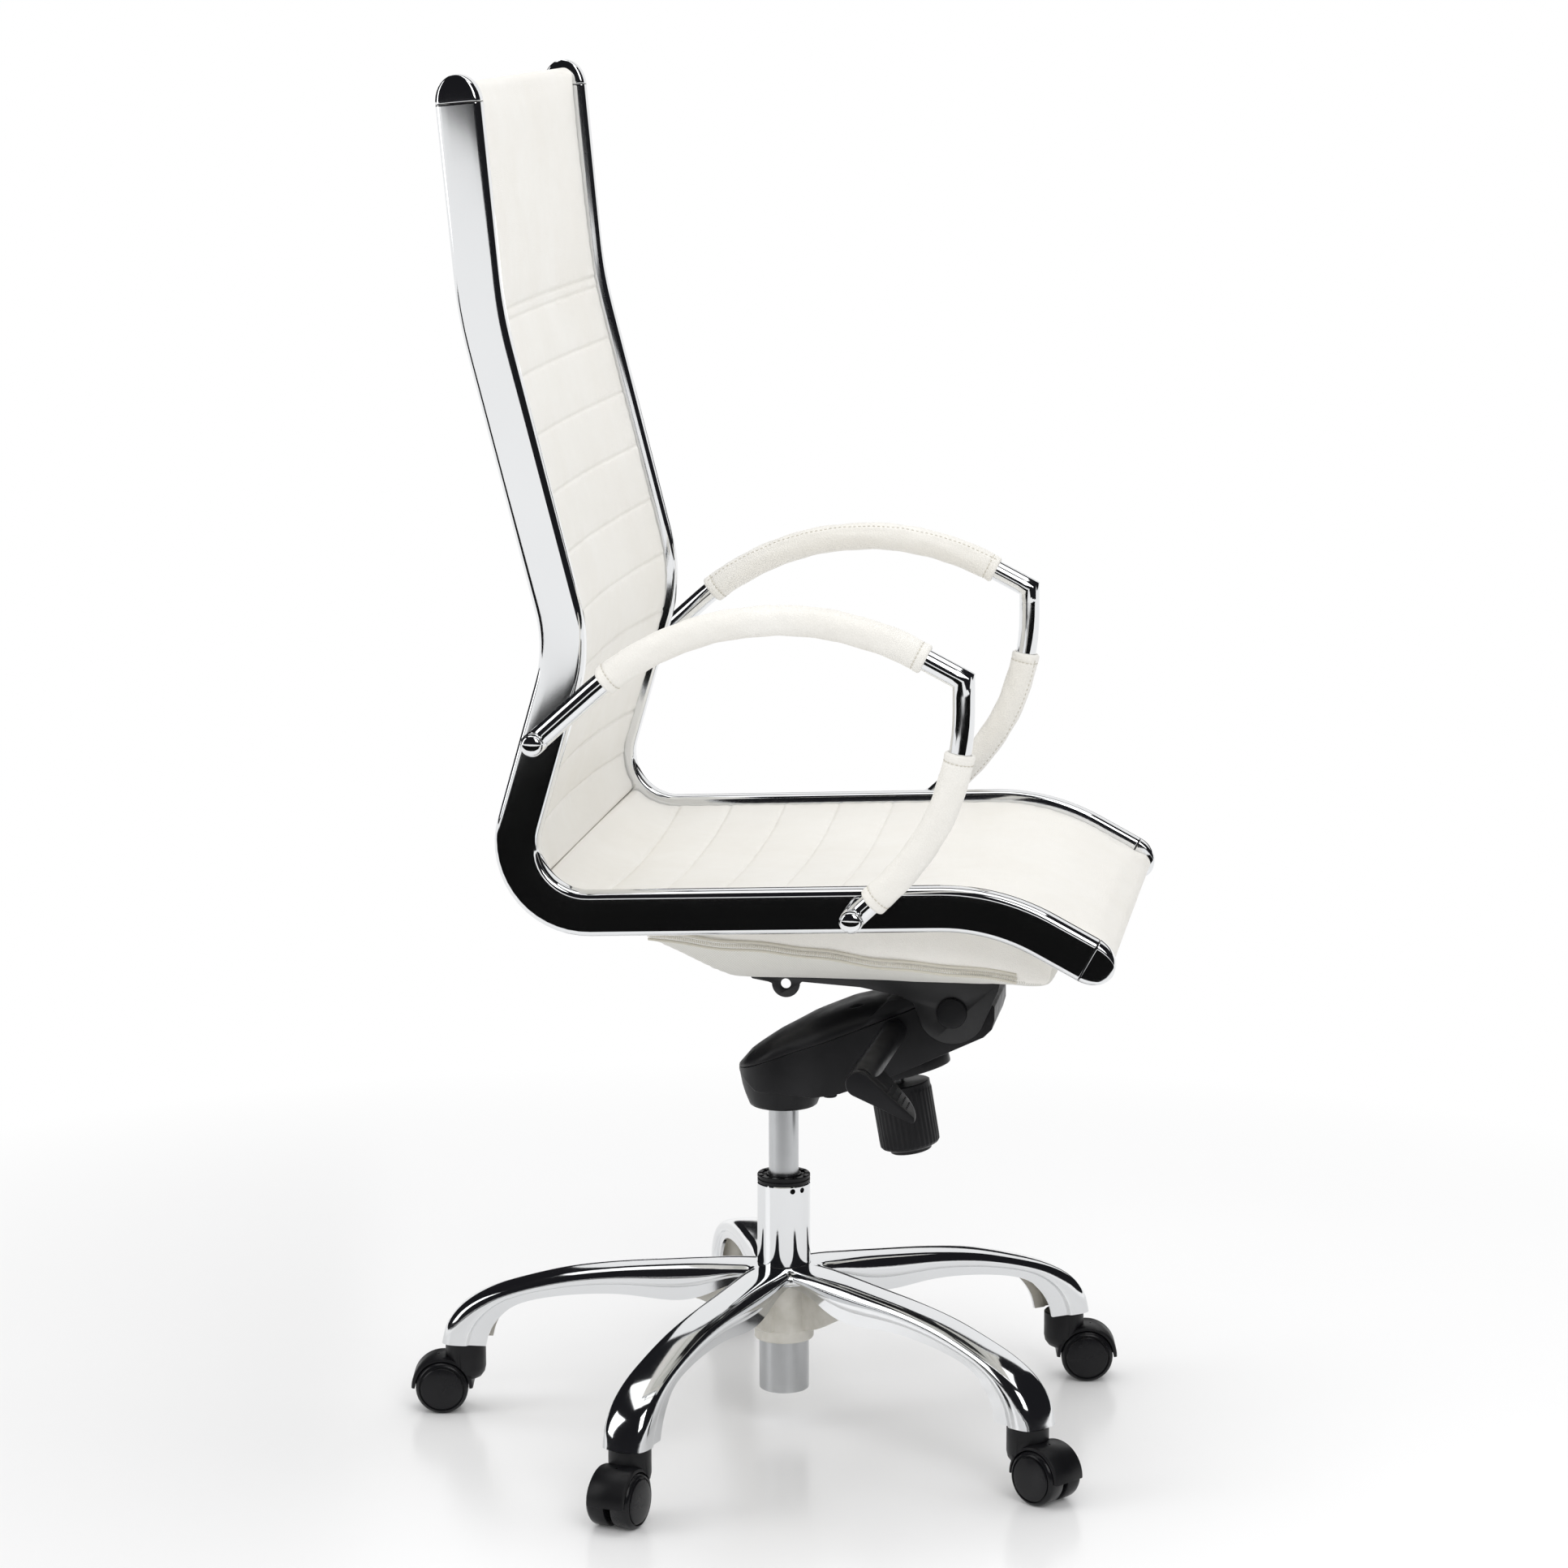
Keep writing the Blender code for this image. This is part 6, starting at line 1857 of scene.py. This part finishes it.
def studio():
    """A pale floor that fades into white, white air, four soft lamps and a dark card."""
    clear_hands()
    bpy.ops.mesh.primitive_plane_add(size=60, location=(0, 0, 0))
    floor = bpy.context.object
    floor.name = "studio_floor"
    pale, tree, shader = new_finish("pale_floor", (0.88, 0.88, 0.885), 0.22)
    shader.inputs["Specular IOR Level"].default_value = 0.35
    vector = from_place(tree)
    tree.links.new(
        tinted(tree, noise(tree, vector, 1.5), (0.935, 0.935, 0.940), (0.950, 0.950, 0.954)),
        shader.inputs["Base Color"],
    )
    reach = add_node(tree, "ShaderNodeVectorMath", operation="LENGTH")
    tree.links.new(vector, reach.inputs[0])
    fading = ranged(tree, reach.outputs["Value"], 0.0, 1.0, 0.30, 1.45)
    glow = add_node(tree, "ShaderNodeEmission")
    mixed = add_node(tree, "ShaderNodeMixShader")
    tree.links.new(fading, mixed.inputs["Fac"])
    tree.links.new(shader.outputs[0], mixed.inputs[1])
    tree.links.new(glow.outputs[0], mixed.inputs[2])
    tree.links.new(mixed.outputs[0], tree.nodes["Material Output"].inputs["Surface"])
    floor.data.materials.append(pale)

    world = bpy.data.worlds.new("studio_air")
    bpy.context.scene.world = world
    world.use_nodes = True
    tree = world.node_tree
    rays = add_node(tree, "ShaderNodeLightPath")
    open_air = add_node(tree, "ShaderNodeBackground")
    open_air.inputs["Color"].default_value = (1.0, 1.0, 1.0, 1)
    open_air.inputs["Strength"].default_value = 0.62
    dark = add_node(tree, "ShaderNodeBackground")
    dark.inputs["Color"].default_value = (0.012, 0.012, 0.014, 1)
    bright = add_node(tree, "ShaderNodeBackground")
    bright.inputs["Color"].default_value = (1.0, 1.0, 1.0, 1)
    first = add_node(tree, "ShaderNodeMixShader")
    tree.links.new(rays.outputs["Is Glossy Ray"], first.inputs["Fac"])
    tree.links.new(open_air.outputs[0], first.inputs[1])
    tree.links.new(dark.outputs[0], first.inputs[2])
    second = add_node(tree, "ShaderNodeMixShader")
    tree.links.new(rays.outputs["Is Camera Ray"], second.inputs["Fac"])
    tree.links.new(first.outputs[0], second.inputs[1])
    tree.links.new(bright.outputs[0], second.inputs[2])
    tree.links.new(second.outputs[0], tree.nodes["World Output"].inputs["Surface"])
    bpy.context.scene.view_settings.view_transform = "Standard"

    middle = (AXIS_X, 0, 0.6)
    soft_box("key", 46, (2.0, 2.4), (1.7, -2.9, 2.9), middle)
    soft_box("fill", 26, (1.6, 2.6), (-3.2, -1.4, 1.9), middle)
    soft_box("top", 42, (3.4, 2.6), (0.0, 0.3, 3.4), middle)
    soft_box("rear", 22, (3.4, 2.2), (0.3, 3.6, 1.9), middle)

    black, tree, shader = new_finish("black_card", (0.004, 0.004, 0.004), 0.9)
    shader.inputs["Specular IOR Level"].default_value = 0.0
    card("near_dark", (14.0, 3.4), (0.4, -3.05, 0.004), (0.4, -3.05, 3), black)


def camera():
    """A long lens, a little above the seat and to the chair's right."""
    azimuth, elevation = radians(8.503), radians(10.257)
    back = Vector((sin(azimuth) * cos(elevation), -cos(azimuth) * cos(elevation), sin(elevation)))
    right = Vector((cos(azimuth), sin(azimuth), 0))
    target = Vector((AXIS_X, 0, 0.6153)) + right * 0.001
    lens = bpy.data.cameras.new("studio_camera")
    lens.sensor_width = 36.0
    lens.lens = 108.36
    lens.clip_start = 0.05
    lens.clip_end = 100
    obj = bpy.data.objects.new("studio_camera", lens)
    bpy.context.scene.collection.objects.link(obj)
    obj.location = target + back * 4.3726
    obj.rotation_mode = "QUATERNION"
    level = (-back).to_track_quat("-Z", "Y")
    roll = Matrix.Rotation(radians(-0.125), 4, back).to_quaternion()
    obj.rotation_quaternion = roll @ level
    bpy.context.scene.camera = obj


side_rails()
pads()
panels()
armrests()
casters()
star_base()
base_tube()
bush()
cylinder()
tray()
bonnet()
pivot()
seat_channel()
knob()
lever()
under_pocket()
inner_metal()


studio()
camera()
clear_hands()
